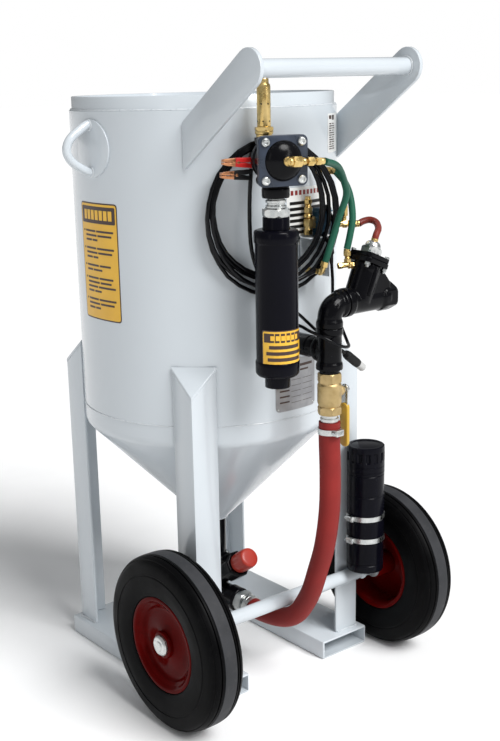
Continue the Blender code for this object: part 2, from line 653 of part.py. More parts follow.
y_run = turned(
    [(0, 0.1240), (0.0280, 0.1240), (0.0290, 0.1180), (0.0290, 0.0180), (0.0315, 0.0160), (0.0315, 0.0),
        (0, 0.0)],
    "run", (1, 0, 0), (0.0360, INLET_Y, RUN_Z), 20,
)
y_hex = rod(0.0335, (0.1400, INLET_Y, RUN_Z), (0.1795, INLET_Y, RUN_Z), "hex", 6, 0.0020,
    math.radians(30))
bonnet = turned(
    [(0, 0.0805), (0.0320, 0.0805), (0.0320, 0.0680), (0.0310, 0.0640), (0.0310, 0.0), (0, 0.0)],
    "bonnet", LEAN, FOOT, 24,
)
run_bore = rod(0.0185, (0.0480, INLET_Y, RUN_Z), (0.2000, INLET_Y, RUN_Z), "bore", 24)
bonnet_bore = rod(0.0215, FOOT + LEAN * 0.0020, FOOT + LEAN * 0.0900, "bore", 24)
y_body = cut(union(y_run, y_hex, bonnet), run_bore, bonnet_bore)
finish(y_body, "inlet_valve_body", "black")
inlet_piston = rod(0.0209, FOOT + LEAN * 0.0300, FOOT + LEAN * 0.0560, "piston", 24)
finish(inlet_piston, "inlet_piston", "brass")
cap = plate(rounded(0.0340, 0.0340, 0.009), 0.0215, "cap", bonnet_frame(0.0918))
finish(cap, "inlet_valve_cap", "black")
reducer = rod(0.0235, FOOT + LEAN * 0.1029, FOOT + LEAN * 0.1180, "reducer", 6, 0.0015)
reducer_top = turned(
    [(0, 0.0280), (0.0085, 0.0280), (0.0150, 0.0240), (0.0180, 0.0140), (0.0180, 0.0), (0, 0.0)],
    "reducer_top", LEAN, FOOT + LEAN * 0.1040, 20,
)
finish(union(reducer, reducer_top), "inlet_reducer", "zinc")

# ---- outlet pipe, metering valve with its knob, mixing tee ----
outlet = ring(0.0290, 0.0225, (0, 0, 0.2350), (0, 0, CONE_TIP - GAP), "outlet", 28)
finish(outlet, "outlet_pipe", "black", True)
KNOB_AXIS = Vector((0, -math.cos(KNOB_TILT), math.sin(KNOB_TILT)))
KNOB_FOOT = Vector((0, 0, 0.1670))
barrel = turned(
    [(0, 0.2347), (0.0340, 0.2347), (0.0370, 0.2320), (0.0370, 0.2180), (0.0340, 0.2150),
        (0.0340, MIXING_Z), (0, MIXING_Z)],
    "barrel", steps=20,
)
neck = rod(0.0260, KNOB_FOOT, KNOB_FOOT + KNOB_AXIS * 0.0800, "neck", 16)
collar = rod(0.0345, KNOB_FOOT + KNOB_AXIS * 0.0700, KNOB_FOOT + KNOB_AXIS * 0.1150, "collar", 8, 0.003,
    math.radians(22.5))
mixing = turned(
    [(0, 0.1900), (0.0270, 0.1900), (0.0310, 0.1870), (0.0310, 0.1620), (0.0280, 0.1590), (0.0280, 0.0410),
     (0.0310, 0.0380), (0.0310, 0.0030), (0.0270, 0.0), (0, 0.0)],
    "mixing", (0, 1, 0), (0, -0.1000, MIXING_Z), 20,
)
mixing_bore = rod(0.0170, (0, -0.1200, MIXING_Z), (0, 0.1200, MIXING_Z), "bore", 16)
feed_bore = rod(0.0200, (0, 0, MIXING_Z), (0, 0, 0.2500), "bore", 16)
metering = cut(union(barrel, neck, collar, mixing), mixing_bore, feed_bore)
finish(metering, "metering_valve_body", "black")
knob = turned(
    [(0, 0.0540), (0.0220, 0.0540), (0.0245, 0.0515), (0.0245, 0.0020), (0.0235, 0.0), (0, 0.0)],
    "knob", KNOB_AXIS, KNOB_FOOT + KNOB_AXIS * 0.1155, 28,
)
finish(knob, "metering_knob", "orange", True)

# ---- document canister on the front right leg ----
CAN_X = 0.2260
CAN_Y = -0.3070
CAN_R = 0.0447
CAN_WALL = 0.0075
CAN_FOOT = 0.2275
CAN_MOUTH = 0.5195
THREAD_FOOT = CAN_MOUTH - 0.0450
CAP_TOP = CAN_MOUTH + 0.0250
CAP_R = CAN_R + 0.0002
thread_r = CAN_R - 0.0047
canister = turned(
    [(CAN_R - CAN_WALL, CAN_MOUTH), (thread_r, CAN_MOUTH), (thread_r, THREAD_FOOT),
        (CAN_R, THREAD_FOOT - 0.0005), (CAN_R, CAN_FOOT + 0.0040), (CAN_R - 0.0020, CAN_FOOT),
        (0, CAN_FOOT), (0, CAN_FOOT + 0.0040),
        (CAN_R - CAN_WALL, CAN_FOOT + 0.0040)],
    "canister", at=(CAN_X, CAN_Y, 0), steps=28,
)
finish(canister, "canister_body", "black", True)
lid = turned(
    [(0, CAP_TOP), (CAP_R - 0.0017, CAP_TOP), (CAP_R, CAP_TOP - 0.0020), (CAP_R, THREAD_FOOT),
        (thread_r + 0.0005, THREAD_FOOT), (thread_r + 0.0005, CAP_TOP - 0.0070), (0, CAP_TOP - 0.0070)],
    "lid", at=(CAN_X, CAN_Y, 0), steps=28,
)
finish(lid, "canister_cap", "black", True)
for z, name in ((0.3670, "canister_clamp_upper"), (0.3115, "canister_clamp_lower")):
    band_ends = ((CAN_X, CAN_Y, z - 0.006), (CAN_X, CAN_Y, z + 0.006))
    band = ring(CAN_R + 0.0017, CAN_R + 0.0004, *band_ends, "band", 28)
    worm = box((CAN_X - CAN_R - 0.0120, CAN_Y - 0.0110, z - 0.0068),
        (CAN_X - CAN_R - 0.0009, CAN_Y + 0.0110, z + 0.0068), "worm")
    finish(union(band, worm), name, "zinc")

# ---- control valve, cables, clamps and small hoses ----
block = box((0.0470, -0.3335, 1.0560), (0.0930, -0.3080, 1.1200), "block")
manifold = box((0.0220, -0.3262, 1.0660), (0.0475, -0.3085, 1.1440), "manifold")
finish(union(block, manifold), "control_valve", "teal")


def oval(side, z, half_side, half_z, steps):
    return [
        (side + half_side * math.cos(2 * math.pi * k / steps),
            z + half_z * math.sin(2 * math.pi * k / steps))
        for k in range(steps)
    ]


coil = plate(oval(0.0300, 1.1030, 0.1650, 0.1720, 40), 0.0240, "coil", exhaust_frame(0.3185, 0, 0))
coil_hole = plate(oval(0.0230, 1.1245, 0.1130, 0.1280, 40), 0.0500, "coil_hole",
    exhaust_frame(0.3185, 0, 0))
finish(cut(coil, coil_hole), "control_cable_coil", "rubber")

lead_points = [(0.057, -0.3662, 1.000), (0.0520, -0.3745, 0.970), (0.0530, -0.3745, 0.934),
    (0.0580, -0.3780, 0.900)]
lead_points += [(0.0590, -0.3920, 0.872), (0.0470, -0.4250, 0.842), (0.0320, -0.4460, 0.8365),
    (0.0160, -0.4540, 0.838)]
lead_points += [(0.0, -0.4565, 0.8425), (-0.0160, -0.4545, 0.850), (-0.0320, -0.4440, 0.861),
    (-0.0500, -0.4120, 0.876)]
lead_points += [(-0.0546, -0.3850, 0.884), (-0.0740, -0.3500, 0.889), (-0.0960, -0.3330, 0.898),
    (-0.0990, -0.3310, 0.914)]
lead_points += [(-0.0750, -0.3430, 0.922), (-0.0450, -0.3600, 0.910), (-0.0180, -0.3670, 0.886),
    (0.0130, -0.3660, 0.860)]
lead_points += [(0.0500, -0.3640, 0.832), (0.0920, -0.3620, 0.803)]
lead = tube(smooth_path(lead_points, 2), LEAD_R, "lead")
finish(lead, "control_lead", "rubber", True)

plug_start = Vector((0.0925, -0.3620, 0.8026))
plug_along = Vector((0.0655, -0.0020, -0.0510)).normalized()
plug = turned(
    [(0, 0.0820), (0.0095, 0.0820), (0.0100, 0.0660), (0.0105, 0.0640), (0.0105, 0.0240), (0.0085, 0.0200),
     (0.0045, 0.0120), (0.0045, 0.0), (0, 0.0)],
    "plug", plug_along, plug_start, 16,
)
finish(plug, "cable_plug", "black", True)

# An alligator battery clamp, seen from outside: jaws, then two handles.
CLAMP = [(-0.0330, 0.0015), (-0.0300, 0.0060), (-0.0060, 0.0085), (0.0060, 0.0075), (0.0300, 0.0105),
    (0.0320, 0.0055)]
CLAMP += [(0.0080, 0.0010), (0.0080, -0.0010), (0.0320, -0.0055), (0.0300, -0.0105), (0.0060, -0.0075)]
CLAMP += [(-0.0060, -0.0085), (-0.0300, -0.0060), (-0.0330, -0.0015)]
for name, side, z, colour in (
    ("battery_clamp_red", -0.0620, 1.2270, "red_paint"), ("battery_clamp_black", -0.0660, 1.2020, "rubber"),
):
    clamp = plate(CLAMP, 0.0140, "clamp", exhaust_frame(0.3560, side, z))
    finish(clamp, name, colour)

green_one = [(-0.0510, -0.4600, 1.2280), (0.0040, -0.4400, 1.2130), (0.0430, -0.4200, 1.1760),
    (0.0570, -0.4100, 1.1470)]
green_one += [(0.0520, -0.3930, 1.1010), (0.0480, -0.3790, 1.0580), (0.0350, -0.3700, 1.0080)]
finish(tube(smooth_path(green_one, 3), SMALL_HOSE_R, "hose"), "green_hose_exhaust", "green_hose", True)
green_two = [(0.0765, -0.3590, 1.1945), (0.0850, -0.3770, 1.1725), (0.0870, -0.3920, 1.1420),
    (0.0850, -0.4010, 1.1000)]
green_two += [(0.0770, -0.4020, 1.0650), (0.0700, -0.4000, 1.0350)]
finish(tube(smooth_path(green_two, 3), SMALL_HOSE_R, "hose"), "green_hose_inlet", "green_hose", True)
pilot_end = FOOT + LEAN * 0.1335
pilot_bend = FOOT + LEAN * 0.1480
pilot = [(0.1450, -0.3600, 1.0785), (0.1560, -0.3620, 1.0830), (0.1680, -0.3700, 1.0855),
    (0.1720, -0.3850, 1.0810)]
pilot += [(0.1560, -0.4080, 1.0710), (pilot_bend.x, INLET_Y, pilot_bend.z),
    (pilot_end.x, INLET_Y, pilot_end.z)]
finish(tube(smooth_path(pilot, 3), SMALL_HOSE_R, "hose"), "pilot_hose", "rust_hose", True)
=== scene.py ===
"""Portable abrasive-blast pot on two wheels: the look of each piece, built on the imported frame.

Sizes are in metres. Every piece is drawn about the tank's axis, with the service side toward -Y, and is then
moved to its place in the frame. The driving sizes are read from the frame's boxes.
"""

import math

import bmesh
import bpy
from mathutils import Matrix, Vector, noise


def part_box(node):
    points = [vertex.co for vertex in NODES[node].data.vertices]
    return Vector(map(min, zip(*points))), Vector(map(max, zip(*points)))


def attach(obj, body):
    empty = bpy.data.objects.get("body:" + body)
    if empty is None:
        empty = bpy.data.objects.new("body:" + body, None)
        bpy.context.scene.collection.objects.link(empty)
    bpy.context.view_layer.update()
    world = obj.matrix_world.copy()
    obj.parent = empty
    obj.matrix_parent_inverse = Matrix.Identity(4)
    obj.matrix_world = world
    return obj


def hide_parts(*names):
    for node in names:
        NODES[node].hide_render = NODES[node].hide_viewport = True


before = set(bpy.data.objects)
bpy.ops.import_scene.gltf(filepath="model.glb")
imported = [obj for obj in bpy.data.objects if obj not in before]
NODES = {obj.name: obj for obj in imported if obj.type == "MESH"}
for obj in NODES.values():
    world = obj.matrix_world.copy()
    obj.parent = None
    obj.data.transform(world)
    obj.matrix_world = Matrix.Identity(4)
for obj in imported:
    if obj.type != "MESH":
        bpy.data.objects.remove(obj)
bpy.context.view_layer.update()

tank_low, tank_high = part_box("tank_shell")
SHIFT = Matrix.Translation((0, (tank_low.y + tank_high.y) / 2, 0))


def box_of(node):
    """A node's lowest and highest corner, measured from the tank's axis."""
    low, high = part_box(node)
    return low - SHIFT.translation, high - SHIFT.translation


def middle_of(node):
    low, high = box_of(node)
    return (low + high) / 2


ALONG, UP = Vector((1, 0, 0)), Vector((0, 0, 1))
SIDES = (("left", -1), ("right", 1))
# Tank: outside radius, wall, the seam with the cone, and the tops of the shell and of the head.
TANK_R = (tank_high.x - tank_low.x) / 2
WALL = 0.006
SEAM_Z, SHELL_TOP = tank_low.z, tank_high.z
HEAD_R, HEAD_TOP = box_of("top_head")[1].x, box_of("top_head")[1].z
# Exhaust group: straight out from the tank, across, and the height of its pipe.
SILENCER_X, SILENCER_Y = middle_of("silencer").xy
OUT = Vector((SILENCER_X, SILENCER_Y, 0)).normalized()
SIDE = Vector((-OUT.y, OUT.x, 0))
EXHAUST_Z = middle_of("exhaust_valve_cover").z
# Air inlet line: one upright plane, and the heights of its tee, valve stem and upper run.
INLET_Y = middle_of("hose_nipple_top").y
TEE_Z = middle_of("tank_inlet_pipe").z
STEM_Z = middle_of("ball_valve_ball").z
PORT_HEX_R = 0.0335
RUN_Z = box_of("inlet_valve_body")[0].z + PORT_HEX_R
# The inlet valve's bonnet leans back from its foot on the run; FLAT lies across the bonnet.
BONNET_TILT = math.radians(23)
LEAN = Vector((math.sin(BONNET_TILT), 0, math.cos(BONNET_TILT)))
FLAT = Vector((math.cos(BONNET_TILT), 0, -math.sin(BONNET_TILT)))
FOOT = Vector((0.08, INLET_Y, RUN_Z))
# Metering valve under the cone: its mixing tee, and the knob that leans out of it.
MIXING_Z = middle_of("hose_coupling_bottom").z
KNOB_TILT = math.radians(35)
KNOB_AXIS = Vector((0, -math.cos(KNOB_TILT), math.sin(KNOB_TILT)))
KNOB_FOOT = Vector((0, 0, 0.167))
# Radii of the hoses and cables.
AIR_HOSE_R = 0.0235
SMALL_HOSE_R = 0.0074
CABLE_R = 0.0044
LEAD_R = 0.0035


# ---- camera and light ----
def add_camera():
    """Stands on the service side, left of the pot and about as high as its handle."""
    camera = bpy.data.objects.new("camera", bpy.data.cameras.new("camera"))
    bpy.context.scene.collection.objects.link(camera)
    yaw, pitch, roll = math.radians(-38.154), math.radians(-15.462), math.radians(-1.3715)
    ahead = Vector((-math.sin(yaw) * math.cos(pitch), math.cos(yaw) * math.cos(pitch), math.sin(pitch)))
    level = Vector((math.cos(yaw), math.sin(yaw), 0))
    above = level.cross(ahead)
    right = level * math.cos(roll) + above * math.sin(roll)
    up = -level * math.sin(roll) + above * math.cos(roll)
    turn = Matrix((right, up, -ahead)).transposed().to_4x4()
    camera.matrix_world = SHIFT @ Matrix.Translation((-1.683, -2.2, 1.391)) @ turn
    camera.data.lens = 57.03
    camera.data.sensor_width = 36
    camera.data.shift_x = 0.0328
    camera.data.shift_y = 0.0442
    camera.data.clip_end = 100
    bpy.context.scene.camera = camera


def add_strip_light(name, place, power):
    """A tall narrow lamp that draws a soft streak down each round piece."""
    data = bpy.data.lights.new(name, "AREA")
    data.shape = "RECTANGLE"
    data.size, data.size_y = 0.25, 1.8
    data.energy = power
    lamp = bpy.data.objects.new(name, data)
    bpy.context.scene.collection.objects.link(lamp)
    lamp.location = place
    toward = Vector((0, -0.1, 0.8)) - Vector(place)
    lamp.rotation_euler = toward.to_track_quat("-Z", "Y").to_euler()


def add_sun(azimuth, elevation, strength, softness):
    """Even light on the pot and on all of the floor. The azimuth is from the service side toward +X."""
    data = bpy.data.lights.new("sun", "SUN")
    data.energy = strength
    data.angle = softness
    lamp = bpy.data.objects.new("sun", data)
    bpy.context.scene.collection.objects.link(lamp)
    way = polar(azimuth, math.cos(elevation), math.sin(elevation))
    lamp.rotation_euler = way.to_track_quat("Z", "Y").to_euler()


def add_studio():
    """A white backdrop for the eye, and a dimmer even light from all round."""
    world = bpy.data.worlds.new("studio")
    world.use_nodes = True
    nodes, links = world.node_tree.nodes, world.node_tree.links
    seen, ambient = nodes.new("ShaderNodeBackground"), nodes["Background"]
    seen.inputs["Color"].default_value = (1, 1, 1, 1)
    ambient.inputs["Color"].default_value = (0.97, 0.985, 1.0, 1)
    ambient.inputs["Strength"].default_value = 0.32
    path, mix = nodes.new("ShaderNodeLightPath"), nodes.new("ShaderNodeMixShader")
    links.new(path.outputs["Is Camera Ray"], mix.inputs["Fac"])
    links.new(ambient.outputs["Background"], mix.inputs[1])
    links.new(seen.outputs["Background"], mix.inputs[2])
    links.new(mix.outputs["Shader"], nodes["World Output"].inputs["Surface"])
    bpy.context.scene.world = world
    bpy.context.scene.view_settings.view_transform = "Standard"
    add_sun(math.radians(8), math.radians(48), 3.3, math.radians(30))
    add_strip_light("front", (0.9, -3.4, 2.4), 14)
    add_strip_light("side", (-3.2, -1.2, 2.2), 3)
    bm = bmesh.new()
    bmesh.ops.create_grid(bm, x_segments=2, y_segments=2, size=60)
    mesh = bpy.data.meshes.new("floor")
    bm.to_mesh(mesh)
    bm.free()
    floor = bpy.data.objects.new("floor", mesh)
    floor.location = (0, 0, -0.0005)
    bpy.context.scene.collection.objects.link(floor)
    pale = surface("floor", (0.96, 0.96, 0.96), (0.94, 0.94, 0.94), 0.7, 0.75, fine=30, gloss=0)
    floor.data.materials.append(pale)


# ---- materials ----
def surface(name, light, dark, rough_low, rough_high, metal=0.0, coarse=6.0, fine=180.0,
            bump=0.1, bump_size=0.0004, coat=0.0, stretch=(1, 1, 1), dust=None, gloss=0.5):
    """A finish whose colour drifts between two tones, with varied roughness and a fine bump."""
    mat = bpy.data.materials.new(name)
    mat.use_nodes = True
    nodes, links = mat.node_tree.nodes, mat.node_tree.links
    shader = nodes["Principled BSDF"]
    shader.inputs["Metallic"].default_value = metal
    if coat:
        shader.inputs["Coat Weight"].default_value = coat
        shader.inputs["Coat Roughness"].default_value = 0.08
    shader.inputs["Specular IOR Level"].default_value = gloss
    place = nodes.new("ShaderNodeTexCoord")
    mapping = nodes.new("ShaderNodeMapping")
    mapping.inputs["Scale"].default_value = stretch
    links.new(place.outputs["Object"], mapping.inputs["Vector"])

    def noise_at(scale, detail=4.0):
        made = nodes.new("ShaderNodeTexNoise")
        made.inputs["Scale"].default_value = scale
        made.inputs["Detail"].default_value = detail
        links.new(mapping.outputs["Vector"], made.inputs["Vector"])
        return made.outputs["Fac"]

    large, small = noise_at(coarse), noise_at(fine)
    ramp = nodes.new("ShaderNodeValToRGB")
    ramp.color_ramp.interpolation = "EASE"
    ramp.color_ramp.elements[0].position = 0.28
    ramp.color_ramp.elements[1].position = 0.72
    ramp.color_ramp.elements[0].color = (*dark, 1)
    ramp.color_ramp.elements[1].color = (*light, 1)
    links.new(large, ramp.inputs["Fac"])
    colour = ramp.outputs["Color"]
    if dust:
        speck = nodes.new("ShaderNodeValToRGB")
        speck.color_ramp.elements[0].position = 0.56
        speck.color_ramp.elements[1].position = 0.74
        links.new(noise_at(coarse * 5, 8.0), speck.inputs["Fac"])
        mix = nodes.new("ShaderNodeMix")
        mix.data_type = "RGBA"
        mix.inputs["B"].default_value = (*dust, 1)
        links.new(speck.outputs["Color"], mix.inputs["Factor"])
        links.new(colour, mix.inputs["A"])
        colour = mix.outputs["Result"]
    links.new(colour, shader.inputs["Base Color"])
    spread = nodes.new("ShaderNodeMapRange")
    spread.interpolation_type = "SMOOTHSTEP"
    spread.inputs["From Min"].default_value = 0.3
    spread.inputs["From Max"].default_value = 0.7
    spread.inputs["To Min"].default_value = rough_low
    spread.inputs["To Max"].default_value = rough_high
    links.new(large, spread.inputs["Value"])
    links.new(spread.outputs["Result"], shader.inputs["Roughness"])
    relief = nodes.new("ShaderNodeBump")
    relief.inputs["Strength"].default_value = bump
    relief.inputs["Distance"].default_value = bump_size
    links.new(small, relief.inputs["Height"])
    links.new(relief.outputs["Normal"], shader.inputs["Normal"])
    mat.diffuse_color = (*light, 1)
    return mat


def woven(name, light, dark, pitch, rough):
    """A hose cover: the print of the wrapping cloth runs across it as fine diagonal ridges."""
    mat = surface(name, light, dark, rough - 0.08, rough + 0.08, coarse=9, fine=240, bump=0.2, gloss=0.25)
    nodes, links = mat.node_tree.nodes, mat.node_tree.links
    wave = nodes.new("ShaderNodeTexWave")
    wave.bands_direction = "DIAGONAL"
    wave.inputs["Scale"].default_value = pitch
    wave.inputs["Distortion"].default_value = 1.5
    place = nodes.new("ShaderNodeTexCoord")
    links.new(place.outputs["Object"], wave.inputs["Vector"])
    ridges = nodes.new("ShaderNodeBump")
    ridges.inputs["Strength"].default_value = 0.25
    ridges.inputs["Distance"].default_value = 0.0003
    links.new(wave.outputs["Fac"], ridges.inputs["Height"])
    first = nodes["Bump"]
    links.new(first.outputs["Normal"], ridges.inputs["Normal"])
    links.new(ridges.outputs["Normal"], nodes["Principled BSDF"].inputs["Normal"])
    return mat


WHITE = surface("gloss_white", (0.595, 0.64, 0.675), (0.582, 0.627, 0.663), 0.17, 0.23, fine=260, bump=0.12,
                bump_size=0.0003, coat=0.35)
WELD = surface("painted_weld", (0.66, 0.69, 0.715), (0.56, 0.6, 0.63), 0.25, 0.45, coarse=60, fine=150,
               bump=0.7, bump_size=0.0016, coat=0.3)
INSIDE = surface("bare_inside", (0.34, 0.33, 0.32), (0.24, 0.23, 0.22), 0.5, 0.7, fine=200, bump=0.4)
RED = surface("gloss_red", (0.11, 0.0022, 0.0018), (0.066, 0.0014, 0.0012), 0.08, 0.18, fine=220, bump=0.12,
              gloss=0.03, dust=(0.06, 0.0022, 0.0018))
BLACK = surface("cast_black", (0.0034, 0.0034, 0.0046), (0.002, 0.002, 0.0028), 0.12, 0.22, coarse=20,
                fine=320, bump=0.3, bump_size=0.0005, gloss=0.13)
# Black, with a blue tint that is a painted violet-blue sheen.
SATIN_SHEEN = surface("satin_black_blue_sheen", (0.0034, 0.0034, 0.0068), (0.0022, 0.0022, 0.0044), 0.18, 0.26, fine=500,
                bump=0.12, gloss=0.09)
NAVY = surface("navy_cast", (0.024, 0.036, 0.062), (0.014, 0.022, 0.038), 0.26, 0.4, coarse=30, fine=350,
               bump=0.3, gloss=0.5)
TYRE = surface("tyre_rubber", (0.003, 0.003, 0.0034), (0.0018, 0.0018, 0.0021), 0.36, 0.52, coarse=14,
               fine=300, bump=0.4, dust=(0.0048, 0.0048, 0.005), gloss=0.05)
# Lighter grey rubber for the tread's middle band: painted sheen, with dust specks.
TREAD_SHEEN = surface("tread_sheen_rubber", (0.038, 0.039, 0.043), (0.024, 0.025, 0.028), 0.46, 0.66, coarse=16,
                fine=300, bump=0.5, dust=(0.044, 0.044, 0.046), gloss=0.25)
CABLE = surface("cable_rubber", (0.0044, 0.0047, 0.0062), (0.0026, 0.0028, 0.0036), 0.14, 0.26, coarse=25,
                fine=400, gloss=0.18)
RED_HOSE = woven("red_hose_cover", (0.27, 0.022, 0.019), (0.205, 0.015, 0.013), 260, 0.66)
GREEN_HOSE = woven("green_hose_cover", (0.016, 0.115, 0.07), (0.009, 0.075, 0.046), 500, 0.38)
RUST_HOSE = woven("rust_hose_cover", (0.24, 0.036, 0.024), (0.17, 0.024, 0.016), 500, 0.4)
ZINC = surface("zinc_plate", (0.74, 0.75, 0.73), (0.5, 0.52, 0.52), 0.22, 0.42, metal=1, coarse=70,
               fine=350, bump=0.2)
STEEL = surface("brushed_steel", (0.6, 0.6, 0.6), (0.44, 0.44, 0.45), 0.28, 0.48, metal=1, coarse=40,
                fine=500, stretch=(1, 1, 0.06))
BRASS = surface("machined_brass", (0.83, 0.62, 0.27), (0.62, 0.43, 0.15), 0.2, 0.42, metal=1, coarse=60,
                fine=420)
CAST_BRASS = surface("cast_brass", (0.62, 0.47, 0.24), (0.42, 0.3, 0.13), 0.38, 0.6, metal=0.9, coarse=45,
                     fine=260, bump=0.6, bump_size=0.0008)
COPPER = surface("copper_jaw", (0.8, 0.38, 0.2), (0.56, 0.24, 0.11), 0.28, 0.48, metal=1, coarse=60)
ORANGE = surface("orange_knob", (0.52, 0.042, 0.022), (0.44, 0.032, 0.017), 0.32, 0.48, fine=420, bump=0.25)
MUSTARD = surface("mustard_grip", (0.62, 0.4, 0.045), (0.5, 0.3, 0.03), 0.36, 0.52, fine=420, bump=0.3)
TEAL = surface("teal_coil", (0.02, 0.085, 0.15), (0.012, 0.052, 0.1), 0.34, 0.52, fine=400, bump=0.25)
BRIGHT_RED = surface("red_sleeve", (0.62, 0.016, 0.014), (0.48, 0.01, 0.01), 0.28, 0.42, fine=300, bump=0.2)
PLASTIC = surface("plug_black", (0.0095, 0.0095, 0.01), (0.006, 0.006, 0.0065), 0.34, 0.48, fine=450,
                  bump=0.3, gloss=0.25)
PALE = surface("pale_plastic", (0.55, 0.55, 0.54), (0.44, 0.44, 0.43), 0.38, 0.52, fine=400, bump=0.25)
AMBER = surface("amber_label", (0.86, 0.5, 0.045), (0.76, 0.42, 0.03), 0.28, 0.4, coarse=12, fine=300)
INK = surface("dark_print", (0.06, 0.03, 0.022), (0.04, 0.02, 0.016), 0.32, 0.46, coarse=30, fine=300)
PAPER = surface("white_label", (0.8, 0.8, 0.78), (0.72, 0.72, 0.7), 0.3, 0.42, coarse=20, fine=300)
PLATE = surface("grey_plate", (0.4, 0.4, 0.41), (0.28, 0.28, 0.29), 0.34, 0.52, metal=0.8, coarse=30,
                fine=260)
MAROON = surface("maroon_print", (0.26, 0.02, 0.018), (0.18, 0.014, 0.012), 0.34, 0.46, coarse=30, fine=300)


# ---- shapes ----
def piece(obj, name, mats, body="frame", stands_for=(), angle=35, moved=True):
    """Names a finished piece, gives it its finish, sets it on its body and lets it stand for CAD nodes."""
    mats = mats if isinstance(mats, (list, tuple)) else [mats]
    obj.name = name
    for mat in mats:
        obj.data.materials.append(mat)
    if moved:
        obj.data.transform(SHIFT)
    if obj.type == "MESH":
        for face in obj.data.polygons:
            face.use_smooth = True
        obj.data.set_sharp_from_angle(angle=math.radians(angle))
    if obj.name not in bpy.context.scene.collection.objects:
        bpy.context.scene.collection.objects.link(obj)
    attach(obj, body)
    if stands_for:
        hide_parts(*stands_for)
    return obj


def from_bmesh(bm):
    """A new object whose faces all look outward."""
    bmesh.ops.recalc_face_normals(bm, faces=bm.faces)
    mesh = bpy.data.meshes.new("part")
    bm.to_mesh(mesh)
    bm.free()
    return bpy.data.objects.new("part", mesh)


def along(axis, at, turn=0.0):
    """Takes local Z onto an axis and the origin onto a point."""
    face = Vector(axis).normalized().to_track_quat("Z", "Y").to_matrix().to_4x4()
    return Matrix.Translation(Vector(at)) @ face @ Matrix.Rotation(turn, 4, "Z")


def lathe(profile, axis=(0, 0, 1), at=(0, 0, 0), steps=48, turn=0.0, closed=False, slots=None):
    """A turned piece. Points are (radius, height); slots gives a band's material from its middle."""
    bm = bmesh.new()
    rings = []
    for r, z in profile:
        if r < 1e-6:
            rings.append([bm.verts.new((0, 0, z))])
            continue
        rings.append([
            bm.verts.new((r * math.cos(2 * math.pi * k / steps), r * math.sin(2 * math.pi * k / steps), z))
            for k in range(steps)
        ])
    pairs = list(zip(rings, rings[1:]))
    if closed:
        pairs.append((rings[-1], rings[0]))
    for band, (a, b) in enumerate(pairs):
        for k in range(steps):
            j = (k + 1) % steps
            corners = [a[k % len(a)], a[j % len(a)], b[j % len(b)], b[k % len(b)]]
            corners = list(dict.fromkeys(corners))
            if len(corners) > 2:
                face = bm.faces.new(corners)
                if slots:
                    middle = (Vector(profile[band]) + Vector(profile[(band + 1) % len(profile)])) / 2
                    face.material_index = slots(middle.x, middle.y)
    made = from_bmesh(bm)
    made.data.transform(along(axis, at, turn))
    return made


def rounded_profile(profile, radius):
    """Cuts each corner of a profile to a small round, so that edges catch light."""
    made = [profile[0]]
    for a, b, c in zip(profile, profile[1:], profile[2:]):
        pa, pb, pc = Vector(a), Vector(b), Vector(c)
        into, out = pb - pa, pc - pb
        if min(into.length, out.length) < 1e-6 or into.angle(out) < 0.35:
            made.append(b)
            continue
        cut = min(radius, into.length * 0.4, out.length * 0.4)
        start, end = pb - into.normalized() * cut, pb + out.normalized() * cut
        for t in (0.0, 0.5, 1.0):
            made.append(tuple(start * (1 - t) ** 2 + pb * 2 * t * (1 - t) + end * t * t))
    made.append(profile[-1])
    return made


def turned(profile, axis=(0, 0, 1), at=(0, 0, 0), steps=48, radius=0.0006):
    """A turned piece with every corner of its profile slightly rounded."""
    return lathe(rounded_profile(profile, radius), axis, at, steps)


def rod(r, start, end, steps=40, radius=0.0006):
    """A solid cylinder from one point to another."""
    start = Vector(start)
    axis = Vector(end) - start
    profile = [(0, 0), (r, 0), (r, axis.length), (0, axis.length)]
    return turned(profile, axis, start, steps, radius)


def hexagon(r, start, end, turn=0.0):
    """A nut or hexagon section with its corners turned off at both faces."""
    start = Vector(start)
    axis = Vector(end) - start
    length, face_r, chamfer, past = axis.length, r * 0.9, r * 0.12, 0.001
    made = lathe([(0, 0), (r, 0), (r, length), (0, length)], axis, start, 6, turn)
    profile = [(0, -past), (face_r, -past), (face_r, 0), (r * 1.001, chamfer),
               (r * 1.001, length - chamfer)]
    profile += [(face_r, length), (face_r, length + past), (0, length + past)]
    return joined(made, lathe(profile, axis, start, 36), "INTERSECT")


def box(low, high, bevel=0.001, segments=2):
    """A block between two corners with its edges rounded."""
    bm = bmesh.new()
    bmesh.ops.create_cube(bm, size=1)
    size, middle = Vector(high) - Vector(low), (Vector(high) + Vector(low)) / 2
    for vert in bm.verts:
        vert.co = Vector(a * b for a, b in zip(vert.co, size)) + middle
    return bevelled(from_bmesh(bm), bevel, segments)


def plate(outline, thickness, place, bevel=0.0006, segments=2):
    """A flat outline given thickness about its plane and placed by a matrix."""
    bm = bmesh.new()
    low = [bm.verts.new((x, y, -thickness / 2)) for x, y in outline]
    high = [bm.verts.new((x, y, thickness / 2)) for x, y in outline]
    bm.faces.new(list(reversed(low)))
    bm.faces.new(high)
    for i in range(len(outline)):
        j = (i + 1) % len(outline)
        bm.faces.new((low[i], low[j], high[j], high[i]))
    made = bevelled(from_bmesh(bm), bevel, segments)
    made.data.transform(place)
    return made


def rounded(half_x, half_y, radius, steps=8):
    """The outline of a rectangle with round corners."""
    points = []
    for quarter, (sx, sy) in enumerate(((1, 1), (-1, 1), (-1, -1), (1, -1))):
        for k in range(steps + 1):
            turn = math.pi / 2 * (quarter + k / steps)
            x = sx * (half_x - radius) + radius * math.cos(turn)
            points.append((x, sy * (half_y - radius) + radius * math.sin(turn)))
    return points


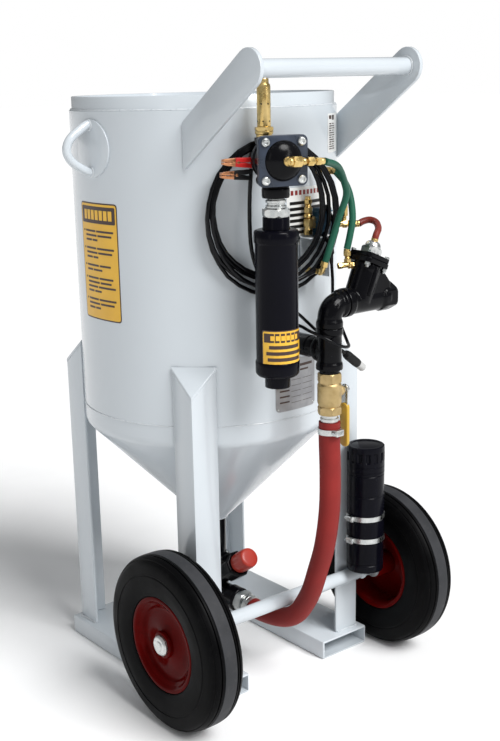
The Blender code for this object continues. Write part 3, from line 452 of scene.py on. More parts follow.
def baked(obj):
    """Replaces an object by its evaluated mesh."""
    if obj.name not in bpy.context.scene.collection.objects:
        bpy.context.scene.collection.objects.link(obj)
    bpy.context.view_layer.update()
    graph = bpy.context.evaluated_depsgraph_get()
    made = bpy.data.objects.new(obj.name, bpy.data.meshes.new_from_object(obj.evaluated_get(graph)))
    bpy.data.objects.remove(obj, do_unlink=True)
    return made


def bevelled(obj, width, segments=2):
    """Rounds the edges between faces that meet at a clear angle."""
    if width <= 0:
        return obj
    bevel = obj.modifiers.new("bevel", "BEVEL")
    bevel.width = width
    bevel.segments = segments
    bevel.limit_method = "ANGLE"
    bevel.angle_limit = math.radians(28)
    return baked(obj)


def joined(first, other, operation="UNION"):
    """Two solids added together, or one cut from or kept within the other."""
    for obj in (first, other):
        if obj.name not in bpy.context.scene.collection.objects:
            bpy.context.scene.collection.objects.link(obj)
    cut = first.modifiers.new("join", "BOOLEAN")
    cut.operation = operation
    cut.solver = "EXACT"
    cut.object = other
    made = baked(first)
    bpy.data.objects.remove(other, do_unlink=True)
    return made


def together(*objs):
    """One mesh that holds several, each keeping its own surface."""
    bm = bmesh.new()
    for obj in objs:
        bm.from_mesh(obj.data)
        bpy.data.objects.remove(obj, do_unlink=True)
    mesh = bpy.data.meshes.new("group")
    bm.to_mesh(mesh)
    bm.free()
    return bpy.data.objects.new("group", mesh)


def casting(voxel, rounds, solids, bores=()):
    """Solids melted into one casting, whose inside corners are filleted, then bored."""
    first = solids[0]
    for other in solids[1:]:
        first = joined(first, other)
    melt = first.modifiers.new("melt", "REMESH")
    melt.mode = "VOXEL"
    melt.voxel_size = voxel
    soft = first.modifiers.new("soft", "SMOOTH")
    soft.factor = 0.5
    soft.iterations = rounds
    first = baked(first)
    for bore in bores:
        first = joined(first, bore, "DIFFERENCE")
    return first


def smooth_path(points, parts):
    """A smooth curve through all of the points, with so many parts to each span."""
    points = [Vector(p) for p in points]
    padded = [2 * points[0] - points[1]] + points + [2 * points[-1] - points[-2]]
    made = []
    for a, b, c, d in zip(padded, padded[1:], padded[2:], padded[3:]):
        for k in range(parts):
            t = k / parts
            made.append(0.5 * (2 * b + (c - a) * t + (2 * a - 5 * b + 4 * c - d) * t * t
                               + (3 * b - a - 3 * c + d) * t ** 3))
    made.append(points[-1])
    return made


def tube(points, radius, resolution):
    """A round cord along the points."""
    curve = bpy.data.curves.new("tube", "CURVE")
    curve.dimensions = "3D"
    curve.bevel_depth = radius
    curve.bevel_resolution = resolution
    curve.use_fill_caps = True
    spline = curve.splines.new("POLY")
    spline.points.add(len(points) - 1)
    for point, place in zip(spline.points, points):
        point.co = (*place, 1)
    spline.use_smooth = True
    return bpy.data.objects.new("tube", curve)


def bar(points, radius, resolution=5):
    """A tube as a mesh."""
    return baked(tube(points, radius, resolution))


def polar(azimuth, radius, z):
    """A point about the tank's axis, with the azimuth from the service side toward +X."""
    return Vector((radius * math.sin(azimuth), -radius * math.cos(azimuth), z))


def ex(radius, side, z):
    """A point in the exhaust group's frame."""
    return OUT * radius + SIDE * side + UP * z


def ex_frame(radius, side, z, tilt=0.0):
    """Lays a flat outline across the exhaust group, facing outward."""
    place = ex(radius, side, z)
    turn = Matrix((SIDE, UP, OUT)).transposed().to_4x4()
    return Matrix.Translation(place) @ turn @ Matrix.Rotation(tilt, 4, "Z")


add_camera()
add_studio()


# ---- cords ----
def lay_cord(name, points, radius, mat, node,
             resolution=6):
    """A hose or cable along the points, from its fixed end to its far end."""
    obj = piece(tube(points, radius, resolution), name, mat, stands_for=(node,))
    length = sum((b - a).length for a, b in zip(points, points[1:]))


def make_air_hose():
    """The red hose hangs from the ball valve and curves back under the cone."""
    route = [(0, INLET_Y, 0.67), (0, INLET_Y, 0.625), (0, -0.4225, 0.55), (0, -0.42, 0.466)]
    route += [(0, -0.405, 0.378), (0, -0.382, 0.309), (0, -0.361, 0.253), (0, -0.3375, 0.212)]
    route += [(0, -0.315, 0.182), (0, -0.284, 0.1585), (0, -0.24, 0.1425), (0, -0.185, MIXING_Z),
              (0, -0.1512, MIXING_Z)]
    lay_cord("air_hose", smooth_path(route, 4), AIR_HOSE_R, RED_HOSE, "supply_hose",
             resolution=10)


def make_control_hoses():
    """Two green control hoses from the exhaust valve's side, and the short rust-red pilot line."""
    route = [(-0.051, -0.46, 1.228), (0.004, -0.44, 1.213), (0.043, -0.42, 1.176)]
    route += [(0.057, -0.41, 1.147), (0.052, -0.393, 1.101), (0.048, -0.379, 1.058), (0.035, -0.37, 1.008)]
    lay_cord("exhaust_control_hose", smooth_path(route, 5), SMALL_HOSE_R, GREEN_HOSE, "green_hose_exhaust")
    route = [(0.0765, -0.359, 1.1945), (0.085, -0.377, 1.1725), (0.087, -0.392, 1.142)]
    route += [(0.085, -0.401, 1.1), (0.077, -0.402, 1.065), (0.07, -0.4, 1.035)]
    lay_cord("inlet_control_hose", smooth_path(route, 5), SMALL_HOSE_R, GREEN_HOSE, "green_hose_inlet")
    end, bend = FOOT + LEAN * 0.1335, FOOT + LEAN * 0.148
    route = [(0.145, -0.36, 1.0785), (0.156, -0.362, 1.083), (0.168, -0.37, 1.0855)]
    route += [(0.172, -0.385, 1.081), (0.156, -0.408, 1.071), tuple(bend), tuple(end)]
    lay_cord("pilot_line", smooth_path(route, 5), SMALL_HOSE_R, RUST_HOSE, "pilot_hose")


def make_coil():
    """The control cable wound in a loose oval bundle that hangs on the exhaust pipe."""
    turns, per_turn = 5.133, 30
    first = math.radians(-12)
    # Each turn's lane: how far out it lies, and how far from the tank.
    lanes = [(1.0, 0.0), (0.17, 0.2), (0.67, 1.0), (0.0, 0.8), (0.5, 0.0), (0.83, 1.0)]
    points = [ex(0.3, 0.164, 1.124), ex(0.305, 0.1745, 1.098)]
    for k in range(int(turns * per_turn) + 1):
        turn = k / per_turn
        lane = int(turn)
        ease = turn - lane
        ease = ease * ease * (3 - 2 * ease)
        here, following = Vector(lanes[lane]), Vector(lanes[min(lane + 1, len(lanes) - 1)])
        spread, depth = here.lerp(following, ease)
        angle = first - 2 * math.pi * turn
        wobble = 0.0016 * noise.noise(Vector((3 * math.cos(angle), 3 * math.sin(angle), lane * 1.7)))
        half_side = 0.119 + 0.039 * spread + wobble
        half_z = 0.133 + 0.034 * spread + wobble
        side = 0.0255 + 0.005 * spread + half_side * math.cos(angle)
        z = 1.123 - 0.019 * spread + half_z * math.sin(angle)
        points.append(ex(0.312 + 0.0128 * depth, side, z))
    rise = [(0.327, 0.045, 0.956), (0.33, 0.012, 0.97), (0.333, -0.012, 1.002), (0.335, -0.025, 1.045)]
    rise += [(0.337, -0.029, 1.09), (0.34, -0.03, 1.14), (0.344, -0.029, 1.185), (0.348, -0.028, 1.212)]
    points += smooth_path([ex(*place) for place in rise], 3)
    lay_cord("control_cable", points, CABLE_R, CABLE, "control_cable_coil",
             4)


def make_lead():
    """The thin control lead: down from its gland, round the silencer's foot and back to the plug."""
    route = [(0.057, -0.3662, 1.0), (0.052, -0.3745, 0.97), (0.053, -0.3745, 0.934), (0.058, -0.378, 0.9)]
    route += [(0.059, -0.392, 0.872), (0.047, -0.425, 0.842), (0.032, -0.446, 0.8365),
              (0.016, -0.454, 0.838)]
    route += [(0.0, -0.4565, 0.8425), (-0.016, -0.4545, 0.85), (-0.032, -0.444, 0.861),
              (-0.05, -0.412, 0.876)]
    route += [(-0.0546, -0.385, 0.884), (-0.074, -0.35, 0.889), (-0.096, -0.333, 0.898),
              (-0.099, -0.331, 0.914)]
    route += [(-0.075, -0.343, 0.922), (-0.045, -0.36, 0.91), (-0.018, -0.367, 0.886),
              (0.013, -0.366, 0.86)]
    route += [(0.05, -0.364, 0.832), (0.092, -0.362, 0.803)]
    lay_cord("control_lead_cord", smooth_path(route, 4), LEAD_R, CABLE, "control_lead",
             4)


def make_plug():
    """A two-part lead connector with ribbed grip and a pale mating half."""
    start = Vector((0.0925, -0.362, 0.8026))
    axis = Vector((0.0655, -0.002, -0.051))
    profile = [(0, 0.0), (0.0042, 0.0), (0.0046, 0.011)]
    for k in range(3):
        profile += [(0.0076 + 0.0012 * k, 0.0118 + 0.003 * k), (0.0068 + 0.0012 * k, 0.0136 + 0.003 * k)]
    profile += [(0.01, 0.0212), (0.0105, 0.023), (0.0105, 0.056), (0.0098, 0.061), (0, 0.061)]
    grip = piece(turned(profile, axis, start, 36, 0.0004), "plug_body", PLASTIC, stands_for=("cable_plug",))
    tip = turned([(0, 0.0612), (0.0094, 0.0612), (0.0098, 0.064), (0.0092, 0.0655), (0.0092, 0.079),
                  (0.008, 0.0818), (0, 0.0818)], axis, start, 36, 0.0005)
    tip = piece(tip, "plug_end", PALE, stands_for=("cable_plug",))
    return [grip, tip]


def make_clamps():
    """Two spring clamps: toothed copper jaws, with plastic sleeves on the handles."""
    made = []
    for side, z, mat, node, tilt in ((-0.062, 1.227, BRIGHT_RED, "battery_clamp_red", -0.06),
                                     (-0.066, 1.202, PLASTIC, "battery_clamp_black", -0.03)):
        jaws = []
        for up in (1, -1):
            outline = [(-0.033, 0.0004 * up), (-0.0326, 0.005 * up), (-0.024, 0.0068 * up),
                       (-0.006, 0.0082 * up)]
            outline += [(0.004, 0.006 * up), (0.004, 0.0003 * up), (-0.008, 0.0003 * up)]
            for k in range(5):
                outline += [(-0.012 - 0.004 * k, 0.0004 * up), (-0.014 - 0.004 * k, 0.0014 * up)]
            if up < 0:
                outline.reverse()
            jaws.append(plate(outline, 0.0124, ex_frame(0.356, side, z, tilt), 0.0005))
            handle = [(-0.006, 0.0004 * up), (-0.006, 0.0086 * up), (0.004, 0.0094 * up),
                      (0.018, 0.01 * up)]
            handle += [(0.031, 0.0106 * up), (0.0322, 0.0092 * up), (0.0316, 0.002 * up),
                       (0.018, 0.0004 * up)]
            if up < 0:
                handle.reverse()
            sleeve = plate(handle, 0.0136, ex_frame(0.356, side, z, tilt), 0.0016, 3)
            name = node + ("_upper" if up > 0 else "_lower")
            made.append(piece(sleeve, name, mat, stands_for=(node,)))
        pin = rod(0.003, ex(0.348, side, z), ex(0.364, side, z), 20)
        made.append(piece(together(pin, *jaws), node + "_jaws", COPPER, stands_for=(node,)))
    return made


PLUG = make_plug()
CLAMPS = make_clamps()
make_air_hose()
make_control_hoses()
make_coil()
make_lead()


# ---- welds, labels, fittings ----
INK_LIFT = 0.0003


def refined(node, name, mat, bevel=0.0012, segments=2):
    """A flat-sided node's own shape with its flats rejoined and its edges rounded."""
    bm = bmesh.new()
    bm.from_mesh(NODES[node].data)
    bmesh.ops.remove_doubles(bm, verts=bm.verts, dist=0.00002)
    bmesh.ops.dissolve_limit(bm, angle_limit=math.radians(2), verts=bm.verts, edges=bm.edges)
    obj = bevelled(from_bmesh(bm), bevel, segments)
    return piece(obj, name, mat, stands_for=(node,), moved=False)


def bead(name, radius, size, z=0.0, axis=(0, 0, 1), at=(0, 0, 0), steps=240):
    """A weld run round a circle: a thin lumpy ring."""
    profile = []
    for k in range(8):
        turn = 2 * math.pi * k / 8
        profile.append((radius + size * math.cos(turn), z + size * 0.8 * math.sin(turn)))
    made = lathe(profile, axis, at, steps, closed=True)
    middle = Vector(at)
    for vert in made.data.vertices:
        away = (vert.co - middle).normalized()
        vert.co += away * (size * 0.22 * noise.noise(vert.co * 160))
    piece(made, name, WELD)


def run(name, points, size):
    """A weld run along a line of points."""
    made = bar(smooth_path(points, 14), size, 3)
    for vert in made.data.vertices:
        vert.co += Vector((1, 1, 1)) * (size * 0.25 * noise.noise(vert.co * 170))
    piece(made, name, WELD)


def label(name, mat, angles, heights, radius, centre=(0, 0), corner=0.004):
    """A thin sheet with round corners that follows a round wall. Angles are azimuths in degrees."""
    a0, a1 = (math.radians(a) for a in angles)
    half, middle = radius * (a1 - a0) / 2, (a0 + a1) / 2
    low, high = heights
    corner = min(corner, half * 0.8, (high - low) * 0.4)
    across = [-half + corner * (1 - math.cos(math.pi / 2 * k / 4)) for k in range(5)]
    count = max(2, int(half / 0.006))
    inner = half - corner
    across += [-inner + 2 * inner * k / count for k in range(1, count)]
    across += [-u for u in reversed(across[:5])]
    bm = bmesh.new()
    columns = []
    for u in across:
        into = max(0.0, abs(u) - inner)
        trim = corner - math.sqrt(max(0.0, corner ** 2 - into ** 2))
        turn = middle + u / radius
        column = []
        for r in (radius, radius - 0.0004):
            for z in (low + trim, high - trim):
                x, y = centre[0] + r * math.sin(turn), centre[1] - r * math.cos(turn)
                column.append(bm.verts.new((x, y, z)))
        columns.append(column)
    for a, b in zip(columns, columns[1:]):
        for i, j in ((0, 1), (1, 3), (3, 2), (2, 0)):
            bm.faces.new((a[i], a[j], b[j], b[i]))
    for end in (columns[0], columns[-1]):
        bm.faces.new((end[0], end[1], end[3], end[2]))
    return piece(from_bmesh(bm), name, mat, angle=30)


def printed(name, mat, rows, radius, centre=(0, 0)):
    """Printed bars, each given as (angle, angle, low, high), joined into one piece."""
    bars = []
    for index, (a0, a1, low, high) in enumerate(rows):
        bars.append(label("bar%d" % index, mat, (a0, a1), (low, high), radius + INK_LIFT, centre, 0.0008))
    for item in bars:
        bpy.context.scene.collection.objects.unlink(item)
    piece(together(*bars), name, mat, moved=False)


def fitting(name, start, end, sections):
    """Brass sections end to end; each is (kind, share of the length, radius)."""
    start, end = Vector(start), Vector(end)
    total = sum(share for _, share, _ in sections)
    reached, made = 0.0, []
    for kind, share, r in sections:
        a = start.lerp(end, reached / total)
        reached += share
        b = start.lerp(end, reached / total)
        if kind == "hex":
            made.append(hexagon(r, a, b))
        elif kind == "ball":
            length = (b - a).length
            profile = [(0, 0)]
            for k in range(1, 12):
                t = math.pi * k / 12
                profile.append((r * max(0.55, math.sin(t)), length / 2 * (1 - math.cos(t))))
            made.append(lathe(profile + [(0, length)], b - a, a, 28))
        elif kind == "thread":
            length = (b - a).length
            turns = max(2, int(length / 0.0018))
            profile = [(0, 0)]
            for k in range(turns):
                profile += [(r, length * (k + 0.25) / turns), (r * 0.9, length * (k + 0.75) / turns)]
            made.append(lathe(profile + [(0, length)], b - a, a, 28))
        else:
            made.append(rod(r, a, b, 28))
    piece(together(*made), name, BRASS)


def screw(name, at, axis, r, height):
    """A socket-head screw on a washer."""
    profile = [(0, height * 0.45), (r * 0.42, height * 0.45), (r * 0.47, height * 0.97),
               (r * 0.72, height * 0.92)]
    profile += [(r * 0.92, height * 0.66), (r, height * 0.22), (r, 0), (0, 0)]
    piece(turned(profile, axis, at, 32, 0.0003), name, ZINC)


def place_across(x, y, z):
    """Lays a flat outline upright, facing +X."""
    return Matrix(((0, 0, 1, x), (1, 0, 0, y), (0, 1, 0, z), (0, 0, 0, 1)))


# ---- tank ----
def make_shell():
    edge = 0.0008
    shell = [(TANK_R - WALL, SHELL_TOP), (TANK_R - edge, SHELL_TOP), (TANK_R, SHELL_TOP - edge)]
    shell += [(TANK_R, SEAM_Z), (TANK_R - WALL, SEAM_Z)]
    piece(lathe(shell, steps=256, closed=True), "tank_wall", WHITE, stands_for=("tank_shell",))
    bead("weld_seam", TANK_R - 0.0006, 0.0022, SEAM_Z, steps=480)
    step = (SHELL_TOP - SEAM_Z - 0.01) / 12
    points = [polar(math.radians(152), TANK_R - 0.0006, SEAM_Z + 0.004 + k * step) for k in range(13)]
    run("weld_upright", points, 0.0021)


def make_head():
    """The set-in head: a collar above the shell, and a dish that drains to the fill hole."""
    dish_r, dish_floor, dish_rise, sheet, hole_r = 0.255, 1.224, 0.066, 0.007, 0.05
    collar = HEAD_TOP - SHELL_TOP
    profile = [(HEAD_R - 0.007, HEAD_TOP - 0.0004), (HEAD_R - 0.0055, HEAD_TOP),
               (HEAD_R - 0.0015, HEAD_TOP)]
    profile += [(HEAD_R, HEAD_TOP - 0.0016), (HEAD_R, SHELL_TOP - 1.5 * collar)]
    profile += [(HEAD_R - 0.007, SHELL_TOP - 0.047), (HEAD_R - 0.0078, 1.326), (HEAD_R - 0.014, 1.31)]
    profile += [(HEAD_R - 0.03, 1.297)]
    radii = [dish_r - k * (dish_r - hole_r) / 14 for k in range(15)]
    under = [(r, dish_floor + dish_rise * (r / dish_r) ** 2) for r in radii]
    over = [(r, z + sheet) for r, z in reversed(under)]
    profile += under + [(hole_r - 0.0013, 1.229)] + over
    profile += [(HEAD_R - 0.031, 1.306), (HEAD_R - 0.019, 1.32), (HEAD_R - 0.012, 1.338)]
    piece(lathe(profile, steps=224, closed=True), "top_dish", WHITE, stands_for=("top_head",), angle=50)
    bead("weld_head", HEAD_R + 0.0012, 0.0032, SHELL_TOP + 0.0012, steps=480)
    bead("weld_fill_hole", hole_r + 0.0015, 0.0022, 1.2325, steps=120)


def make_cone():
    """A knuckle below the seam, then a cone down to the outlet."""
    outlet_z, outlet_r = box_of("bottom_cone")[0].z, 0.032
    cone = [(TANK_R - WALL, SEAM_Z - 0.0003), (TANK_R, SEAM_Z - 0.0003), (TANK_R, 0.623),
            (TANK_R - 0.0006, 0.616)]
    cone += [(TANK_R - 0.003, 0.6085), (TANK_R - 0.0085, 0.602), (outlet_r, outlet_z)]
    cone += [(outlet_r - 0.0084, outlet_z), (TANK_R - 0.0123, 0.6073), (TANK_R - 0.007, 0.614)]
    cone += [(TANK_R - WALL, 0.624)]
    piece(lathe(cone, steps=224, closed=True), "cone_wall", WHITE, stands_for=("bottom_cone",), angle=40)
    bead("weld_outlet", outlet_r + 0.0005, 0.0028, outlet_z + 0.0015, steps=120)


def make_popup():
    """The rubber pop-up seal on its rod, in a guide pipe held by two flat arms."""
    low, high = box_of("popup_guide")
    top, bore_r = high.z, 0.0205
    guide = [(0.024, low.z), (0.024, top - 0.001), (0.023, top), (bore_r, top), (bore_r, low.z)]
    reach, arm_z, arm_half = 0.2985, (0.9, 0.925), 0.006
    parts = [lathe(guide, steps=64, closed=True)]
    for start, end in ((-reach, -0.0225), (0.0225, reach)):
        parts.append(box((start, -arm_half, arm_z[0]), (end, arm_half, arm_z[1])))
    piece(together(*parts), "popup_support", INSIDE, stands_for=("popup_guide",))
    seal = [(0, 1.2165), (0.006, 1.2165), (0.0075, 1.215), (0.02, 1.2165), (0.03, 1.2145), (0.042, 1.2065)]
    seal += [(0.054, 1.1985), (0.06, 1.192), (0.0618, 1.1885), (0.061, 1.186), (0, 1.186)]
    piece(turned(seal, steps=96), "popup_cone", CABLE, "popup_valve", ("popup_seal",))
    low, high = box_of("popup_plunger")
    r, neck_r = high.x, high.x - 0.0015
    rod_profile = [(0, high.z), (r, high.z), (r, 1.16), (neck_r, 1.158), (neck_r, 1.152), (r, 1.15)]
    rod_profile += [(r, low.z + 0.003), (r - 0.003, low.z), (0, low.z)]
    piece(turned(rod_profile), "popup_rod", STEEL, "popup_valve", ("popup_plunger",))


# ---- frame ----
def make_frame():
    foot_z = box_of("skid_left")[1].z + 0.0009
    for side, sx in SIDES:
        for end, sy in (("front", -1), ("rear", 1)):
            node = "leg_%s_%s" % (end, side)
            refined(node, node + "_angle", WHITE, 0.001)
            low, high = box_of(node)
            corner = Vector((high.x if sx > 0 else low.x, high.y if sy > 0 else low.y, foot_z))
            into_x, into_y = Vector((-sx, 0, 0)), Vector((0, -sy, 0))
            points = [corner + into_x * 0.066, corner + into_x * 0.03, corner]
            points += [corner + into_y * 0.03, corner + into_y * 0.066]
            run("weld_%s_foot" % node, points, 0.0024)
        refined("skid_" + side, "skid_%s_tube" % side, WHITE, 0.0008)
        refined("handle_arm_" + side, "handle_%s_plate" % side, WHITE, 0.001)
    make_cross_tube("axle", "axle_tube", 0.0015)
    make_cross_tube("handle_bar", "push_bar", 0.0002)
    for side, s in SIDES:
        low, high = box_of("handle_bar")
        spot = Vector((s * (high.x - 0.0016), middle_of("handle_bar").y, middle_of("handle_bar").z))
        bead("weld_bar_" + side, (high.z - low.z) / 2 + 0.0006, 0.0026, 0, (1, 0, 0), spot, 90)
        spot = Vector((s * 0.2468, middle_of("axle").y, middle_of("axle").z))
        bead("weld_axle_" + side, 0.0176, 0.0026, 0, (1, 0, 0), spot, 90)


def make_cross_tube(node, name, edge):
    """A round tube across the whole frame."""
    low, high = box_of(node)
    y, z = (low.y + high.y) / 2, (low.z + high.z) / 2
    tube_across = rod((high.z - low.z) / 2, (low.x, y, z), (high.x, y, z), 64, edge)
    piece(tube_across, name, WHITE, stands_for=(node,))


def make_eyes():
    """A bent bar on a round pad at each side of the tank."""
    middle_z, half_ring, pad_r, bar_r = middle_of("lifting_eye_left").z, 0.0495, 0.062, 0.0095
    pad_low, pad_high = TANK_R + 0.0003, TANK_R + 0.0043
    curve = [(0.307, half_ring), (0.315, half_ring), (0.333, 0.0395), (0.351, 0.0275), (0.3625, 0.0145)]
    curve += [(0.3672, -0.0015), (0.3625, -0.0165), (0.351, -0.0295), (0.333, -0.0405), (0.315, -half_ring)]
    curve += [(0.307, -half_ring)]
    for side, s in SIDES:
        wall = lathe([(pad_high, 1.17), (pad_high, 1.335), (pad_low, 1.335), (pad_low, 1.17)], steps=256,
                     closed=True)
        disc = rod(pad_r, (s * 0.28, 0, middle_z), (s * 0.33, 0, middle_z), 96, 0.0001)
        pad = bevelled(joined(wall, disc, "INTERSECT"), 0.0009)
        ring = bar(smooth_path([(s * r, 0, middle_z + up) for r, up in curve], 5), bar_r, 7)
        piece(together(pad, ring), "eye_" + side, WHITE, stands_for=("lifting_eye_" + side,))
        for z in (middle_z + half_ring, middle_z - half_ring):
            name = "weld_eye_%s_%d" % (side, round(1000 * z))
            bead(name, bar_r + 0.0008, 0.0022, 0, (1, 0, 0), (s * (TANK_R + 0.0048), 0, z), 48)


# ---- wheels ----
def make_wheels():
    """A grooved rubber tyre on a dished rim; x in the profiles runs outward from the wheel's middle."""
    low, high = box_of("tyre_right")
    middle = (low + high) / 2
    big, half, tread_half = (high.z - low.z) / 2, 0.04615, 0.017
    # From the bead out to the shoulder, as (radius, depth below the tyre's widest point).
    shape = [(0.1108, 0.013), (0.1108, 0.0078), (0.113, 0.0066), (0.118, 0.0052), (0.135, 0.0016)]
    shape += [(0.145, 0.0008), (0.156, 0.001), (0.1572, 0.002), (0.16, 0.0022), (0.1612, 0.0012)]
    shape += [(0.174, 0.0024), (0.184, 0.0052), (0.19, 0.0085), (0.1912, 0.011), (0.1935, 0.0112)]
    shape += [(0.1962, 0.015), (0.1984, 0.019), (0.1986, 0.0205), (0.1955, 0.0212), (0.1955, 0.0232)]
    shape += [(0.1992, 0.024), (0.1998, 0.0275), (0.1964, 0.0284), (0.1964, 0.03), (big - 0.0002, 0.0308)]
    shape += [(big, 0.037)]
    wall = [(r, half - depth) for r, depth in shape]
    tyre = wall + [(r, -x) for r, x in reversed(wall)]
    tyre += [(0.0986, -half + 0.024), (0.0986, half - 0.024)]
    # Outer face of the rim from the hub to the lip, then its inner edge and the drum behind it.
    face = [(0.017, 0.0103), (0.029, 0.0103), (0.03, 0.0112), (0.0306, 0.02), (0.0345, 0.0226)]
    face += [(0.062, 0.0262), (0.074, 0.0272), (0.079, 0.0264), (0.0825, 0.0242), (0.0845, 0.0212)]
    face += [(0.0865, 0.0186), (0.0915, 0.0164), (0.0955, 0.014), (0.0985, 0.0098), (0.1015, 0.0082)]
    face += [(0.107, 0.0078), (0.1088, 0.0088), (0.1088, 0.0116), (0.106, 0.0136), (0.0972, 0.0218)]
    face += [(0.0966, 0.025)]
    back = [(0.0966, 0.025), (0.0972, 0.0218), (0.1088, 0.0116), (0.1088, 0.0088), (0.107, 0.0078)]
    back += [(0.1015, 0.0082), (0.0985, 0.0098), (0.093, 0.02)]
    web = [(0.0922, 0.03), (0.077, 0.0312), (0.034, 0.0312), (0.03, 0.033)]
    hub = [(0.0282, 0.007), (0.027, 0.006), (0.017, 0.006)]
    rim = []
    for part, way in ((face, 1), (back, -1), (web, 1), (hub, -1)):
        rim += [(r, way * (half - depth)) for r, depth in part]
    cap = [(0, 0.0006), (0.01, 0.0008), (0.0112, 0.0022), (0.0175, 0.0014), (0.0206, 0.0026)]
    cap += [(0.0232, 0.0058), (0.0235, 0.01), (0, 0.01)]
    cap = [(r, half - depth) for r, depth in cap]
    seal = [(0.0262, 0.0057), (0.0262, 0.004), (0.0182, 0.0036), (0.0172, 0.0057)]
    seal = [(r, depth - half) for r, depth in seal]

    def sheen_band(r, x):
        """The middle of the tread, where it meets the floor, takes a lighter grey rubber: painted sheen."""
        return int(r > 0.1975 and abs(x) < tread_half)

    for side, s in SIDES:
        axis, at, body = (s, 0, 0), (s * middle.x, middle.y, middle.z), "wheel_" + side
        # The tyre's tread band gets the lighter grey of painted sheen.
        rubber = lathe(tyre, axis, at, 160, closed=True, slots=sheen_band)
        piece(rubber, "tyre_%s_rubber" % side, [TYRE, TREAD_SHEEN], body, ("tyre_" + side,), angle=38)
        steel = lathe(rim, axis, at, 128, closed=True)
        piece(steel, "rim_" + side, RED, body, ("wheel_rim_" + side,), angle=50)
        piece(lathe(cap, axis, at, 64), "hub_cap_" + side, ZINC, body, angle=30)
        piece(lathe(seal, axis, at, 64, closed=True), "hub_seal_" + side, STEEL, body, angle=30)


# ---- exhaust group ----
def make_exhaust_tee():
    """A short pipe from the tank and a tee that carries the relief valve."""
    foot, upright = ex(0.3316, 0, EXHAUST_Z), ex(0.351, 0, EXHAUST_Z)
    pipe = rod(0.0168, ex(TANK_R + 0.0012, 0, EXHAUST_Z), ex(0.336, 0, EXHAUST_Z), 48)
    run_r, neck_r, ring_r = 0.0235, 0.0215, 0.02
    run_profile = [(0, 0), (run_r, 0), (run_r, 0.01), (neck_r, 0.012), (neck_r, 0.028), (run_r, 0.03)]
    run_profile += [(run_r, 0.04), (0, 0.04)]
    branch = [(0, 0), (0.0175, 0), (0.0175, 0.029), (ring_r, 0.031), (ring_r, 0.0423), (0, 0.0423)]
    tee = casting(0.0013, 6, [turned(run_profile, OUT, foot), turned(branch, UP, upright)])
    piece(together(pipe, tee), "exhaust_tee", BLACK, stands_for=("exhaust_pipe",))


def make_relief_valve():
    """A brass tube with two rows of small vent holes, drawn as black discs of painted shade."""
    at, tube_r = ex(0.351, 0, 0), 0.014
    nut = hexagon(0.0205, at + UP * 1.287, at + UP * 1.2948)
    base = [(0, 1.2748), (0.0165, 1.2748), (0.0165, 1.28), (0.0188, 1.2815), (0.0188, 1.2868)]
    base += [(0.012, 1.287), (0, 1.287)]
    stem = [(0, 1.2948), (tube_r, 1.2948), (tube_r, 1.373), (0.0132, 1.378), (0.0108, 1.38)]
    stem += [(0.0105, 1.388), (0.0092, 1.3908), (0, 1.3908)]
    parts = [nut, turned(base, at=at), turned(stem, at=at, steps=64)]
    piece(together(*parts), "relief_body", BRASS, stands_for=("relief_valve",))
    # The vent holes are not cut: black discs set in the tube are painted shade for their dark insides.
    vent_shades = []
    for row, height in enumerate((1.306, 1.34)):
        for k in range(6):
            turn = math.radians(60 * k - 60 + 14 * row)
            way = SIDE * math.cos(turn) + OUT * math.sin(turn)
            spot = at + UP * height
            vent_r = 0.0016 + 0.0003 * row
            vent_shades.append(rod(vent_r, spot + way * (tube_r - 0.002), spot + way * (tube_r + 0.00012), 16,
                             0.0001))
    piece(together(*vent_shades), "relief_vent_shades", PLASTIC)


